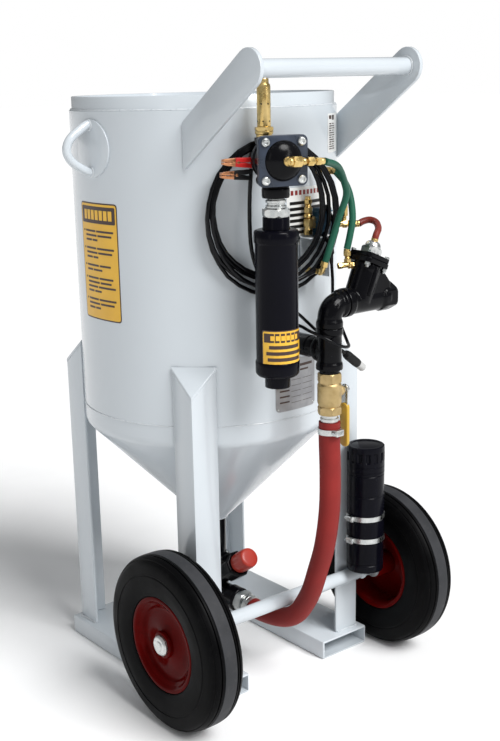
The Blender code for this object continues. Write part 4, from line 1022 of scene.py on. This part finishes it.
def make_exhaust_valve():
    """A round ribbed body with its piston, a square cover with four screws, and a domed cap."""
    z0 = EXHAUST_Z
    ribbed = [(0, 0.0624), (0.0424, 0.0624), (0.0424, 0.05), (0.04, 0.048), (0.04, 0.02)]
    ribbed += [(0.0424, 0.018), (0.0424, 0.006), (0.036, 0.0003), (0, 0.0003)]
    solids = [turned(ribbed, OUT, ex(0.3723, 0, z0), 72),
              rod(0.024, ex(0.404, 0, 1.179), ex(0.404, 0, 1.21), 48)]
    bores = [rod(0.0298, ex(0.385, 0, z0), ex(0.44, 0, z0), 48)]
    bores += [rod(0.014, ex(0.404, 0, 1.17), ex(0.404, 0, 1.21), 32)]
    piece(casting(0.0016, 6, solids, bores), "exhaust_body", BLACK, stands_for=("exhaust_valve_body",))
    lugs = []
    for sx in (-1, 1):
        for sz in (-1, 1):
            spot = ex(0, sx * 0.039, z0 + sz * 0.037)
            lugs.append(rod(0.0105, spot + OUT * 0.42, spot + OUT * 0.4348, 32, 0.001))
            screw("cover_screw_%s%s" % ("lr"[sx > 0], "lu"[sz > 0]), spot + OUT * 0.447, OUT, 0.0092,
                  0.0062)
    piece(together(*lugs), "exhaust_lugs", BLACK)
    disc_r, groove_r = 0.0293, 0.0278
    disc = [(0, 0.015), (0.008, 0.015), (0.008, 0.012), (disc_r, 0.012), (disc_r, 0.009),
            (groove_r, 0.0085)]
    disc += [(groove_r, 0.006), (disc_r, 0.0055), (disc_r, 0.0015), (0.025, 0), (0, 0)]
    piece(lathe(disc, OUT, ex(0.4185, 0, z0), 64), "exhaust_disc", BRASS, "exhaust_piston_body",
          ("exhaust_piston",), angle=30)
    cover = plate(rounded(0.0525, 0.05, 0.0125), 0.012, ex_frame(0.441, 0, z0), 0.0012, 3)
    piece(cover, "exhaust_cover", NAVY, stands_for=("exhaust_valve_cover",))
    dome = [(0, 0.023), (0.008, 0.0229), (0.01, 0.022), (0.018, 0.0204), (0.026, 0.0178), (0.033, 0.0138)]
    dome += [(0.0375, 0.0094), (0.0398, 0.0058), (0.04, 0.005), (0, 0.005)]
    piece(turned(dome, OUT, ex(0.442, 0, z0), 96), "exhaust_dome", BLACK,
          stands_for=("exhaust_valve_cover",))
    fitting("dome_stub", ex(0.464, 0, z0), ex(0.478, 0, z0), [("round", 5, 0.009), ("thread", 9, 0.0075)])
    fitting("dome_fitting", ex(0.472, 0, z0 - 0.0003), (-0.0535, -0.4596, 1.2284),
            [("round", 7, 0.0088), ("hex", 20, 0.0118), ("ball", 15, 0.008), ("hex", 14, 0.0095),
             ("thread", 6, 0.0062), ("hex", 12, 0.0082), ("round", 8, 0.007)])


def make_union():
    """The boss, flare, plated nut and neck that join the exhaust valve to the silencer."""
    at, bore_r = Vector((SILENCER_X, SILENCER_Y, 0)), 0.013
    boss = [(0, 1.199), (0.0252, 1.199), (0.0252, 1.188), (0.0262, 1.184), (0.0285, 1.18)]
    boss += [(0.0285, 1.1783), (0, 1.1783)]
    piece(turned(boss, at=ex(0.404, 0, 0)), "exhaust_boss", BLACK)
    flare = [(bore_r, 1.1782), (0.0268, 1.1782), (0.0285, 1.1745), (0.0285, 1.162), (0.0272, 1.157)]
    flare += [(0.018, 1.1562), (bore_r, 1.1562)]
    piece(turned(flare, at=at, steps=64), "union_top", BLACK, stands_for=("exhaust_union",))
    ring_r, waist_r = 0.0212, 0.0182
    rings = [(bore_r, 1.156), (0.0172, 1.156), (0.0172, 1.154), (ring_r, 1.153), (ring_r, 1.148)]
    rings += [(waist_r, 1.147), (waist_r, 1.143), (ring_r, 1.142), (ring_r, 1.137), (bore_r, 1.136)]
    nut = hexagon(0.03, at + UP * 1.1195, at + UP * 1.1358)
    piece(together(turned(rings, at=at), nut), "union_nut", ZINC, stands_for=("exhaust_union",))
    neck = [(bore_r, 1.119), (0.027, 1.119), (0.0276, 1.117), (0.0276, 1.099), (0.029, 1.0945)]
    neck += [(bore_r, 1.0943)]
    piece(turned(neck, at=at, steps=64), "silencer_neck", SATIN_SHEEN, stands_for=("exhaust_union",))


def make_silencer():
    """A long can with a rolled cap at each end and a short outlet below, wearing an amber label."""
    at = Vector((SILENCER_X, SILENCER_Y, 0))
    wall_r, cap_r, outlet_r = 0.0444, 0.0465, 0.027
    can = [(0, 1.094), (0.0395, 1.094), (0.044, 1.0922), (0.0464, 1.0885), (cap_r, 1.07), (0.0458, 1.0672)]
    can += [(0.0446, 1.066), (wall_r, 1.064), (wall_r, 0.8235), (0.0447, 0.8218), (0.0458, 0.8212)]
    can += [(cap_r, 0.8195), (cap_r, 0.798), (0.0458, 0.7945), (0.042, 0.79), (0.0395, 0.7889)]
    can += [(0.0272, 0.7888), (outlet_r, 0.765), (0.0262, 0.764), (0.0222, 0.764), (0.0215, 0.765)]
    can += [(0.0215, 0.785), (0, 0.785)]
    piece(lathe(can, at=at, steps=96), "silencer_can", SATIN_SHEEN, stands_for=("silencer",), angle=40)
    spot, left, right, low, high = at.xy, -85, 48, 0.816, 0.892
    sheet_r = wall_r + 0.0009
    label("silencer_label_edge", INK, (left, right), (low, high), wall_r + 0.0006, spot)
    label("silencer_label", AMBER, (left + 3, right - 3), (low + 0.0022, high - 0.0022), sheet_r, spot)
    label("silencer_label_head", INK, (left + 7, right - 7), (high - 0.025, high - 0.006),
          sheet_r + INK_LIFT, spot, 0.001)
    rows, spans = [], ((left + 22, right - 20), (left + 14, right - 12), (left + 18, right - 16))
    for k, (start, end) in enumerate(spans):
        z = high - 0.035 - 0.013 * k
        rows.append((start, end, z - 0.0036, z + 0.0036))
    printed("silencer_label_bars", INK, rows, sheet_r + INK_LIFT, spot)
    rows = [(left + 26 + 14 * k, left + 36 + 14 * k, high - 0.0205, high - 0.0105) for k in range(6)]
    printed("silencer_label_title", AMBER, rows, sheet_r + 2 * INK_LIFT, spot)


# ---- air inlet line ----
def make_tank_nipple():
    profile = [(0.014, 0), (0.024, 0), (0.024, 0.056), (0.0225, 0.058), (0.0225, 0.082), (0.014, 0.0825)]
    nipple = turned(profile, (0, -1, 0), (0, -TANK_R - 0.0012, TEE_Z), 56)
    piece(nipple, "tank_nipple", BLACK, stands_for=("tank_inlet_pipe",))
    bead("weld_nipple", 0.0255, 0.0028, 0, (0, 1, 0), (0, -TANK_R - 0.002, TEE_Z), 90)


def make_supply_tee():
    at = Vector((0, INLET_Y, 0))
    ring_r, neck_r = 0.029, 0.0262
    upright = [(0, 0.8778), (ring_r, 0.8778), (ring_r, 0.865), (neck_r, 0.86), (neck_r, 0.804)]
    upright += [(ring_r, 0.799), (ring_r, 0.7864), (0, 0.7864)]
    branch = [(0, 0), (neck_r, 0), (neck_r, 0.018), (ring_r, 0.021), (ring_r, 0.0306), (0, 0.0306)]
    solids = [turned(upright, at=at, steps=72), turned(branch, (0, 1, 0), at + UP * TEE_Z, 72)]
    piece(casting(0.0015, 7, solids), "tee_casting", BLACK, stands_for=("supply_tee",))


def make_ball_valve():
    """A cast brass ball valve; its ball, stem, lever and mustard grip turn together about X."""
    at, body = Vector((0, INLET_Y, 0)), "ball_valve_handle"
    stem_at = Vector((0, INLET_Y, STEM_Z))
    nuts = [hexagon(0.0268, at + UP * 0.7575, at + UP * 0.779),
            hexagon(0.0268, at + UP * 0.6872, at + UP * 0.705)]
    piece(rod(0.0215, at + UP * 0.7786, at + UP * 0.7862, 56, 0.0004), "valve_nipple", BLACK)
    barrel = [(0, 0.76), (0.022, 0.76), (0.0262, 0.753), (0.0262, 0.714), (0.022, 0.703), (0, 0.703)]
    middle = casting(0.0012, 5, [
        turned(barrel, at=at, steps=72),
        rod(0.012, stem_at + ALONG * 0.015, stem_at + ALONG * 0.034, 40, 0.001),
        rod(0.0092, stem_at + ALONG * 0.03, stem_at + ALONG * 0.04, 40, 0.001),
    ], [rod(0.0201, at + UP * 0.7, at + UP * 0.77, 48)])
    piece(together(*nuts, middle), "valve_body", CAST_BRASS, stands_for=("ball_valve_body",))
    stem = rod(0.0055, stem_at + ALONG * 0.032, stem_at + ALONG * 0.044, 24)
    ball = rod(0.018, stem_at - UP * 0.012, stem_at + UP * 0.012, 40, 0.006)
    piece(together(stem, ball), "valve_stem", ZINC, body, ("ball_valve_ball",))
    grip = middle_of("ball_valve_grip")
    strip = plate(rounded(0.0095, 0.047, 0.009), 0.0028, place_across(grip.x, grip.y, STEM_Z - 0.035),
                  0.0005)
    nut = hexagon(0.0088, stem_at + ALONG * 0.0472, stem_at + ALONG * 0.053)
    piece(together(strip, nut), "valve_lever", ZINC, body, ("ball_valve_lever",))
    sleeve = plate(rounded(0.0125, 0.05, 0.0115), 0.009, place_across(*grip), 0.003, 4)
    hole = box((0.0441, INLET_Y - 0.0098, 0.6515), (0.0475, INLET_Y + 0.0098, 0.72), 0)
    piece(joined(sleeve, hole, "DIFFERENCE"), "valve_grip", MUSTARD, body, ("ball_valve_grip",))


def make_hose_end():
    """The ball valve's hose nipple, and the worm clamp on the red hose."""
    bore_r, ring_r, groove_r = 0.0125, 0.02, 0.0175
    barb = [(bore_r, 0.6703), (0.0195, 0.6703), (ring_r, 0.672), (ring_r, 0.679), (groove_r, 0.68)]
    barb += [(groove_r, 0.684), (ring_r, 0.685), (ring_r, 0.6869), (bore_r, 0.6869)]
    barb = turned(barb, at=(0, INLET_Y, 0), steps=56)
    piece(barb, "hose_barb", ZINC, stands_for=("hose_nipple_top",))
    clamp("hose_clamp", (0, INLET_Y, middle_of("hose_clamp_top").z), 0.0243, (0, -1, 0), "hose_clamp_top",
          0.0062)


def make_elbow():
    """The elbow from the tee's top round to the inlet valve."""
    at, pipe_r, ring_r, bend_r, end_x = Vector((0, INLET_Y, 0)), 0.0262, 0.029, 0.029, 0.0355
    path = [at + UP * 0.8783, at + UP * 0.888]
    for k in range(13):
        turn = math.radians(7.5 * k)
        path.append(Vector((bend_r * (1 - math.cos(turn)), INLET_Y, RUN_Z - bend_r * (1 - math.sin(turn)))))
    path.append(Vector((end_x, INLET_Y, RUN_Z)))
    lower = [(0, 0.8785), (ring_r, 0.8785), (ring_r, 0.89), (0.0265, 0.896), (0, 0.896)]
    upper = [(0, 0), (0.03, 0), (0.03, 0.008), (pipe_r, 0.012), (0, 0.012)]
    solids = [bar(path, pipe_r, 8), turned(lower, at=at, steps=72), turned(upper, (-1, 0, 0), path[-1], 72)]
    piece(casting(0.0015, 6, solids), "elbow_casting", BLACK, stands_for=("inlet_elbow",))


def clamp(name, at, inner, way, node, half):
    """A worm-drive clamp: slotted band, housing and screw."""
    at, way = Vector(at), Vector(way)
    across = way.cross(UP)
    outer = inner + 0.0014
    band = lathe([(inner, -half), (outer, -half), (outer, half), (inner, half)], UP, at, 72, closed=True)
    turn = Matrix((across, UP, way)).transposed().to_4x4()
    seat = at + way * (inner + 0.0055)
    housing = plate(rounded(0.0105, half + 0.0008, 0.0015, 3), 0.0085, Matrix.Translation(seat) @ turn,
                    0.001)
    head = hexagon(0.0046, seat + across * 0.01, seat + across * 0.0165)
    threads = []
    for k in range(7):
        spot = at + way * (inner + 0.01) + across * (-0.0075 + 0.0025 * k)
        threads.append(rod(0.001, spot - UP * 0.0038, spot + UP * 0.0038, 8, 0.0003))
    piece(together(band, housing, head, *threads), name, ZINC, stands_for=(node,))


def make_inlet_valve():
    """A cast run with a leaning bonnet, and the piston that slides in the bonnet."""
    ring_r = 0.031
    along_run = [(0, 0), (0.0315, 0), (0.0315, 0.015), (0.0285, 0.019), (0.028, 0.03), (0.028, 0.1)]
    along_run += [(ring_r, 0.106), (ring_r, 0.12), (0, 0.12)]
    bonnet = [(0, 0.0803), (0.032, 0.0803), (0.032, 0.069), (0.0308, 0.064), (0.0305, 0.03), (ring_r, 0),
              (0, 0)]
    web = [(0.05, 0.01), (0.128, 0.01), (0.13, 0.036), (0.11, 0.061), (0.074, 0.07)]
    web_place = Matrix(((1, 0, 0, 0.03), (0, 0, -1, INLET_Y), (0, 1, 0, RUN_Z - 0.003), (0, 0, 0, 1)))
    port = Vector((0, INLET_Y, RUN_Z))
    body = casting(0.0016, 7, [
        turned(along_run, ALONG, port + ALONG * 0.0362, 72),
        turned(bonnet, LEAN, FOOT, 72),
        hexagon(PORT_HEX_R, port + ALONG * 0.142, port + ALONG * 0.1793, math.radians(30)),
        plate(web, 0.05, web_place, 0.004),
    ], [
        rod(0.0185, port + ALONG * 0.12, port + ALONG * 0.21, 48),
        rod(0.0215, FOOT + LEAN * 0.002, FOOT + LEAN * 0.09, 48),
    ])
    piece(body, "inlet_casting", BLACK, stands_for=("inlet_valve_body",))
    low_end, high_end = FOOT + LEAN * 0.014, FOOT + LEAN * 0.077
    rib = rod(0.0058, low_end - Vector((0, 0.029, 0)), high_end - Vector((0, 0.0305, 0)), 24, 0.003)
    piece(rib, "inlet_rib", BLACK)
    disc_r, groove_r = 0.0209, 0.0198
    disc = [(0, 0), (disc_r, 0), (disc_r, 0.008), (groove_r, 0.009), (groove_r, 0.013), (disc_r, 0.014)]
    disc += [(disc_r, 0.026), (0, 0.026)]
    disc = turned(disc, LEAN, FOOT + LEAN * 0.03, 56)
    piece(disc, "inlet_disc", BRASS, "inlet_piston_body", ("inlet_piston",))


def make_inlet_cap():
    """The bonnet's square cap with four bolts, and the plated reducer above it."""
    middle = FOOT + LEAN * 0.0918
    turn = Matrix((FLAT, Vector((0, 1, 0)), LEAN)).transposed().to_4x4()
    lower_place = Matrix.Translation(middle - LEAN * 0.0052) @ turn
    upper_place = Matrix.Translation(middle + LEAN * 0.0058) @ turn
    cap = [plate(rounded(0.034, 0.034, 0.01), 0.011, lower_place, 0.0014, 3)]
    cap.append(plate(rounded(0.033, 0.033, 0.0095), 0.0098, upper_place, 0.0018, 3))
    piece(together(*cap), "inlet_cap", BLACK, stands_for=("inlet_valve_cap",))
    for sx in (-1, 1):
        for sy in (-1, 1):
            spot = middle + FLAT * sx * 0.0262 + Vector((0, sy * 0.0262, 0)) + LEAN * 0.0106
            nut = hexagon(0.0058, spot, spot + LEAN * 0.0045)
            under = spot - LEAN * 0.0216
            below = [hexagon(0.0066, under, under - LEAN * 0.006),
                     rod(0.0034, under, under - LEAN * 0.0105, 20)]
            piece(together(nut, *below), "cap_nut_%s%s" % ("lr"[sx > 0], "fb"[sy > 0]), ZINC)
    crown = turned([(0, 0.0106), (0.0235, 0.0106), (0.0228, 0.0112), (0, 0.0112)], LEAN, middle)
    piece(crown, "inlet_cap_boss", BLACK)
    nut = hexagon(0.0234, FOOT + LEAN * 0.1031, FOOT + LEAN * 0.118)
    top = [(0, 0.028), (0.0085, 0.028), (0.0125, 0.0262), (0.0158, 0.023), (0.018, 0.017), (0.018, 0),
           (0, 0)]
    top = turned(top, LEAN, FOOT + LEAN * 0.104)
    piece(together(nut, top), "reducer_nut", ZINC, stands_for=("inlet_reducer",))


# ---- outlet, metering valve, mixing tee ----
def make_outlet():
    """The outlet pipe, and the metering valve cast in one with the mixing tee."""
    bore_r, low, high = 0.0225, 0.2352, 0.3326
    pipe = turned([(bore_r, low), (0.0285, low), (0.0285, high), (bore_r, high)], steps=72)
    piece(pipe, "outlet_tube", BLACK, stands_for=("outlet_pipe",))
    barrel = [(0, 0.2345), (0.034, 0.2345), (0.0372, 0.231), (0.0372, 0.219), (0.0335, 0.215),
              (0.032, 0.15)]
    barrel += [(0.03, MIXING_Z), (0, MIXING_Z)]
    neck = [(0, 0), (0.0255, 0), (0.0255, 0.075), (0, 0.075)]
    octagon = [(0, 0.07), (0.0345, 0.073), (0.0345, 0.112), (0.0315, 0.1148), (0, 0.1148)]
    ring_r, waist_r = 0.0312, 0.027
    tee = [(0, 0.19), (0.0285, 0.1898), (ring_r, 0.187), (ring_r, 0.164), (waist_r, 0.159),
           (waist_r, 0.041)]
    tee += [(ring_r, 0.036), (ring_r, 0.003), (0.0285, 0), (0, 0)]
    body = casting(0.0017, 6, [
        turned(barrel, steps=72),
        turned(neck, KNOB_AXIS, KNOB_FOOT, 56),
        lathe(octagon, KNOB_AXIS, KNOB_FOOT, 8, math.radians(22.5)),
        turned(tee, (0, 1, 0), (0, -0.1, MIXING_Z), 72),
    ], [
        rod(0.017, (0, -0.12, MIXING_Z), (0, 0.12, MIXING_Z), 40),
        rod(0.02, (0, 0, MIXING_Z), (0, 0, 0.25), 40),
    ])
    piece(body, "metering_casting", BLACK, stands_for=("metering_valve_body",))
    make_knob()
    for k in range(4):
        spot = polar(math.radians(135 + 90 * k), 0.03, 0.2345)
        piece(hexagon(0.0048, spot, spot + UP * 0.004), "barrel_bolt_%d" % k, ZINC)
    nut = hexagon(0.03, (0, -0.1008, MIXING_Z), (0, -0.124, MIXING_Z))
    bore_r, ring_r, groove_r = 0.011, 0.0262, 0.025
    ferrule = [(bore_r, 0.0235), (0.0205, 0.0235), (0.0205, 0.03), (ring_r, 0.032), (ring_r, 0.038)]
    ferrule += [(groove_r, 0.039), (groove_r, 0.042), (ring_r, 0.043), (0.0255, 0.0495), (bore_r, 0.0495)]
    ferrule = turned(ferrule, (0, -1, 0), (0, -0.1005, MIXING_Z), 64)
    piece(together(nut, ferrule), "coupling_bottom", ZINC, stands_for=("hose_coupling_bottom",))


def make_knob():
    """The orange metering knob with fine ribs round it."""
    r, seat, count = 0.0245, KNOB_FOOT + KNOB_AXIS * 0.1155, 18
    knob = [(0, 0.0538), (0.015, 0.054), (0.0215, 0.0532), (0.0238, 0.051), (r, 0.048), (r, 0.005)]
    knob += [(0.0238, 0.002), (0.0225, 0), (0, 0)]
    piece(lathe(knob, KNOB_AXIS, seat, 72), "knob_cap", ORANGE, "metering_knob_body", ("metering_knob",),
          angle=40)
    turned_to_axis = along(KNOB_AXIS, (0, 0, 0)).to_3x3()
    ribs = []
    for k in range(count):
        turn = 2 * math.pi * k / count
        base = seat + turned_to_axis @ Vector((math.cos(turn), math.sin(turn), 0)) * (r - 0.0003)
        ribs.append(rod(0.0011, base + KNOB_AXIS * 0.008, base + KNOB_AXIS * 0.045, 8, 0.0004))
    piece(together(*ribs), "knob_ribs", ORANGE, "metering_knob_body")


# ---- document canister ----
def make_canister():
    """A round black can with a fluted lid, in two clamps."""
    low, high = box_of("canister_body")
    x, y = middle_of("canister_body").xy
    r, foot, mouth = (high.x - low.x) / 2, low.z, high.z
    groove_r, neck_r, bore_r = r - 0.0011, r - 0.0047, r - 0.0075
    shoulder = mouth - 0.045
    body = [(0, foot), (r - 0.003, foot), (r - 0.0007, foot + 0.0012), (r, foot + 0.0035),
            (r, foot + 0.018)]
    body += [(groove_r, foot + 0.0192), (groove_r, foot + 0.022), (r, foot + 0.0232), (r, shoulder - 0.055)]
    body += [(r - 0.0009, shoulder - 0.054), (r - 0.0009, shoulder - 0.051), (r, shoulder - 0.05)]
    body += [(r, shoulder - 0.002), (r - 0.001, shoulder - 0.0008), (neck_r, shoulder - 0.0003)]
    body += [(neck_r, mouth - 0.0005), (bore_r, mouth), (bore_r, foot + 0.0042), (0, foot + 0.004)]
    piece(lathe(body, at=(x, y, 0), steps=96), "canister_tube", SATIN_SHEEN, stands_for=("canister_body",))
    make_canister_lid(x, y, r, shoulder, box_of("canister_cap")[1].z)
    for node in ("canister_clamp_upper", "canister_clamp_lower"):
        clamp(node + "_band", (x, y, middle_of(node).z), r + 0.0003, (-1, 0, 0), node, 0.006)


def make_canister_lid(x, y, r, low, high):
    """The lid from its low edge to its high one, around the can's radius r."""
    skirt, inner, panel_r = r + 0.0002, r - 0.0042, r - 0.0105
    profile = [(inner, low), (r - 0.0003, low), (skirt, low + 0.0018)]
    for k in range(2):
        groove = low + 0.0055 + 0.0135 * k
        profile += [(skirt, groove), (r - 0.0007, groove + 0.0008), (r - 0.0007, groove + 0.003)]
        profile.append((skirt, groove + 0.004))
    flute_low, flute_high, flutes, depth = high - 0.038, high - 0.014, 14, 0.0035
    profile += [(skirt, flute_low + 0.0024 * k) for k in range(11)]
    profile += [(skirt, high - 0.008), (r - 0.0005, high - 0.0018), (r - 0.003, high - 0.0002)]
    profile += [(r - 0.0085, high), (panel_r, high - 0.0012), (panel_r, high - 0.0068),
                (inner, high - 0.0072)]
    lid = lathe(profile, at=(x, y, 0), steps=144, closed=True)
    for vert in lid.data.vertices:
        across = Vector((vert.co.x - x, vert.co.y - y, 0))
        if across.length > r - 0.001 and flute_low + 0.001 < vert.co.z < flute_high - 0.001:
            turn = math.atan2(across.y, across.x) * flutes / (2 * math.pi)
            near = abs(turn - round(turn))
            vert.co -= across.normalized() * depth * max(0.0, min(1.0, (0.3 - near) / 0.12))
    disc = [(0, high - 0.0066), (r - 0.0104, high - 0.0066), (r - 0.0104, high - 0.0011),
            (0, high - 0.0011)]
    disc = turned(disc, at=(x, y, 0), steps=96, radius=0.0002)
    piece(together(lid, disc), "canister_lid_cap", SATIN_SHEEN, "canister_lid", ("canister_cap",), angle=30)


# ---- control valve and small fittings ----
def make_control_valve():
    """A solenoid valve on a bent bracket, with a stack of brass fittings beside it."""
    coil = [box((0.05, -0.3335, 1.058), (0.09, -0.312, 1.118), 0.0035, 3),
            box((0.054, -0.3385, 1.07), (0.086, -0.333, 1.106), 0.0025, 3)]
    for k in range(5):
        coil.append(box((0.048, -0.333, 1.0655 + 0.0105 * k), (0.092, -0.309, 1.069 + 0.0105 * k), 0.001))
    piece(together(*coil), "solenoid", TEAL, stands_for=("control_valve",))
    fitting("brass_stack", (0.033, -0.318, 1.062), (0.033, -0.318, 1.144),
            [("hex", 12, 0.01), ("round", 6, 0.0075), ("hex", 16, 0.0112), ("ball", 14, 0.01),
             ("hex", 12, 0.0098), ("thread", 8, 0.0072), ("hex", 9, 0.0088), ("round", 7, 0.006)])
    piece(box((0.04, -0.325, 1.075), (0.052, -0.31, 1.1), 0.0012), "manifold_link", CAST_BRASS,
          stands_for=("control_valve",))
    bracket = [box((0.018, -0.3105, 0.968), (0.076, -0.3085, 1.059), 0.0006),
               box((0.074, -0.34, 0.968), (0.076, -0.3085, 1.057), 0.0006),
               box((0.018, -0.34, 1.055), (0.076, -0.3085, 1.057), 0.0006)]
    piece(together(*bracket), "valve_bracket", WHITE)


def make_small_fittings():
    """The fittings at the ends of the pilot line and of the two control hoses."""
    fitting("pilot_nipple", (0.09, -0.322, 1.08), (0.124, -0.344, 1.079),
            [("round", 10, 0.0062), ("hex", 12, 0.009), ("round", 8, 0.007), ("hex", 10, 0.0095)])
    fitting("pilot_fitting", (0.124, -0.344, 1.079), (0.1455, -0.3601, 1.0786),
            [("ball", 8, 0.0078), ("hex", 10, 0.0088), ("round", 6, 0.0075)])
    fitting("pilot_plug", (0.118, -0.34, 1.083), (0.118, -0.34, 1.119),
            [("round", 12, 0.006), ("hex", 20, 0.0092)])
    end = FOOT + LEAN * 0.1325
    fitting("pilot_end", end - LEAN * 0.001, end + LEAN * 0.006, [("round", 6, 0.0078)])
    fitting("hose_end_one", (0.0345, -0.37, 1.0085), (0.03, -0.364, 0.984),
            [("hex", 8, 0.0088), ("round", 10, 0.006)])
    fitting("hose_end_one_elbow", (0.03, -0.366, 0.986), (0.03, -0.31, 0.986),
            [("ball", 10, 0.008), ("round", 34, 0.006)])
    fitting("hose_end_two", (0.07, -0.3998, 1.0355), (0.069, -0.403, 1.006),
            [("round", 5, 0.0072), ("hex", 10, 0.0088), ("thread", 6, 0.0062), ("hex", 8, 0.0085)])
    fitting("hose_end_two_left", (0.048, -0.396, 1.0), (0.07, -0.4035, 1.002),
            [("hex", 7, 0.007), ("round", 12, 0.0062)])
    fitting("hose_end_two_right", (0.069, -0.403, 1.002), (0.0835, -0.4088, 0.9985),
            [("ball", 8, 0.0088), ("hex", 7, 0.008)])
    fitting("hose_start_two", (0.056, -0.316, 1.201), (0.0765, -0.3588, 1.195),
            [("round", 16, 0.0055), ("hex", 12, 0.0082), ("round", 8, 0.007)])


def make_lead_gland():
    """The black gland that holds the lead, and the bent stem above it."""
    gland = [(0, 0), (0.0036, 0), (0.004, 0.003), (0.0055, 0.02), (0.0078, 0.023), (0.0078, 0.033), (0, 0.033)]
    piece(turned(gland, (0, 0.12, 1), (0.057, -0.3661, 1.0002), 28), "lead_gland", PLASTIC)
    route = [(0.057, -0.3622, 1.033), (0.0575, -0.356, 1.046), (0.06, -0.34, 1.056), (0.064, -0.332, 1.062)]
    piece(bar(smooth_path(route, 6), 0.0045, 4), "gland_stem", CABLE)


# ---- labels ----
def make_side_label():
    """A tall amber sheet with a dark heading and lines of plain bars."""
    left, right, low, high = -102, -76, 0.878, 1.137
    sheet_r, half_line = TANK_R + 0.0008, 0.0022
    label("side_label_edge", INK, (left, right), (low, high), TANK_R + 0.0005, corner=0.008)
    label("side_label_sheet", AMBER, (left + 0.5, right - 0.5), (low + 0.003, high - 0.003), sheet_r,
          corner=0.006)
    label("side_label_head", INK, (left + 1.2, right - 1.2), (high - 0.045, high - 0.008),
          sheet_r + INK_LIFT, corner=0.003)
    rows = [(left + 3.5 + 2.9 * k, left + 5.6 + 2.9 * k, high - 0.037, high - 0.016) for k in range(7)]
    printed("side_label_title", AMBER, rows, TANK_R + 0.0012)
    rows, z = [], high - 0.062
    for lines in (3, 3, 2, 4, 3):
        rows.append((left + 2.2, left + 3.0, z - half_line, z + half_line))
        for line in range(lines):
            end = right - 2.5 - (8.0 if line == lines - 1 else 0.0) - 1.2 * ((line * 7 + lines) % 3)
            start = left + 4.0
            middle = start + (end - start) * (0.42 + 0.07 * ((line + lines) % 3))
            rows.append((start, middle - 0.35, z - half_line, z + half_line))
            rows.append((middle + 0.35, end, z - half_line, z + half_line))
            z -= 0.0098
        z -= 0.0085
    printed("side_label_lines", INK, rows, TANK_R + 0.0009)


def make_name_plate():
    """A riveted metal plate low on the tank, with blank entry fields."""
    plate_r = TANK_R + 0.0008
    label("name_plate", PLATE, (-9.5, 13), (0.673, 0.79), plate_r, corner=0.01)
    rows = [(-7.5, 11, 0.77, 0.776), (-5.0, 8.5, 0.76, 0.764)]
    for k in range(5):
        z = 0.746 - 0.013 * k
        rows += [(-7.5, -2.5, z - 0.0018, z + 0.0018), (-1.5, 4.0, z - 0.0042, z - 0.0034)]
        rows.append((5.0, 11.0, z - 0.0042, z - 0.0034))
    printed("name_plate_lines", INK, rows, plate_r)
    for k, (azimuth, z) in enumerate(((-8.3, 0.679), (11.8, 0.679), (-8.3, 0.784), (11.8, 0.784))):
        azimuth = math.radians(azimuth)
        screw("plate_rivet_%d" % k, polar(azimuth, plate_r, z), polar(azimuth, 1, 0), 0.0022, 0.0012)


def make_decals():
    """A white decal with a maroon mark and plain bars, and a small sticker above it."""
    sheet_r = TANK_R + 0.0005
    label("decal_sheet", PAPER, (-3, 31), (1.04, 1.163), sheet_r, corner=0.002)
    rows = [(-1 + 2.3 * k, 0.4 + 2.3 * k, 1.147, 1.157) for k in range(8)]
    printed("decal_mark", MAROON, rows, sheet_r)
    rows = []
    for k in range(7):
        low, high = 1.1266 - 0.0125 * k, 1.1334 - 0.0125 * k
        rows += [(-1.5, 9 - (k * 5) % 3, low, high), (11, 18 + (k * 3) % 4, low, high)]
    printed("decal_lines", PLASTIC, rows, sheet_r)
    label("small_sticker", PAPER, (25.5, 39), (1.228, 1.312), sheet_r, corner=0.002)
    rows = [(26.8, 29.5, 1.3, 1.308), (30.5, 33.5, 1.298, 1.308)]
    for k in range(12):
        low, high = 1.2888 - 0.0049 * k, 1.2912 - 0.0049 * k
        rows += [(27.0, 29.6 + 0.5 * ((k * 5) % 3), low, high),
                 (31.0, 33.0 + 0.6 * ((k * 7) % 3), low, high)]
    printed("small_sticker_lines", INK, rows, sheet_r)


make_shell()
make_head()
make_cone()
make_popup()
make_frame()
make_eyes()
make_wheels()
make_exhaust_tee()
make_relief_valve()
make_exhaust_valve()
make_union()
make_silencer()
make_tank_nipple()
make_supply_tee()
make_ball_valve()
make_hose_end()
make_elbow()
make_inlet_valve()
make_inlet_cap()
make_outlet()
make_canister()
make_control_valve()
make_small_fittings()
make_lead_gland()
make_side_label()
make_name_plate()
make_decals()
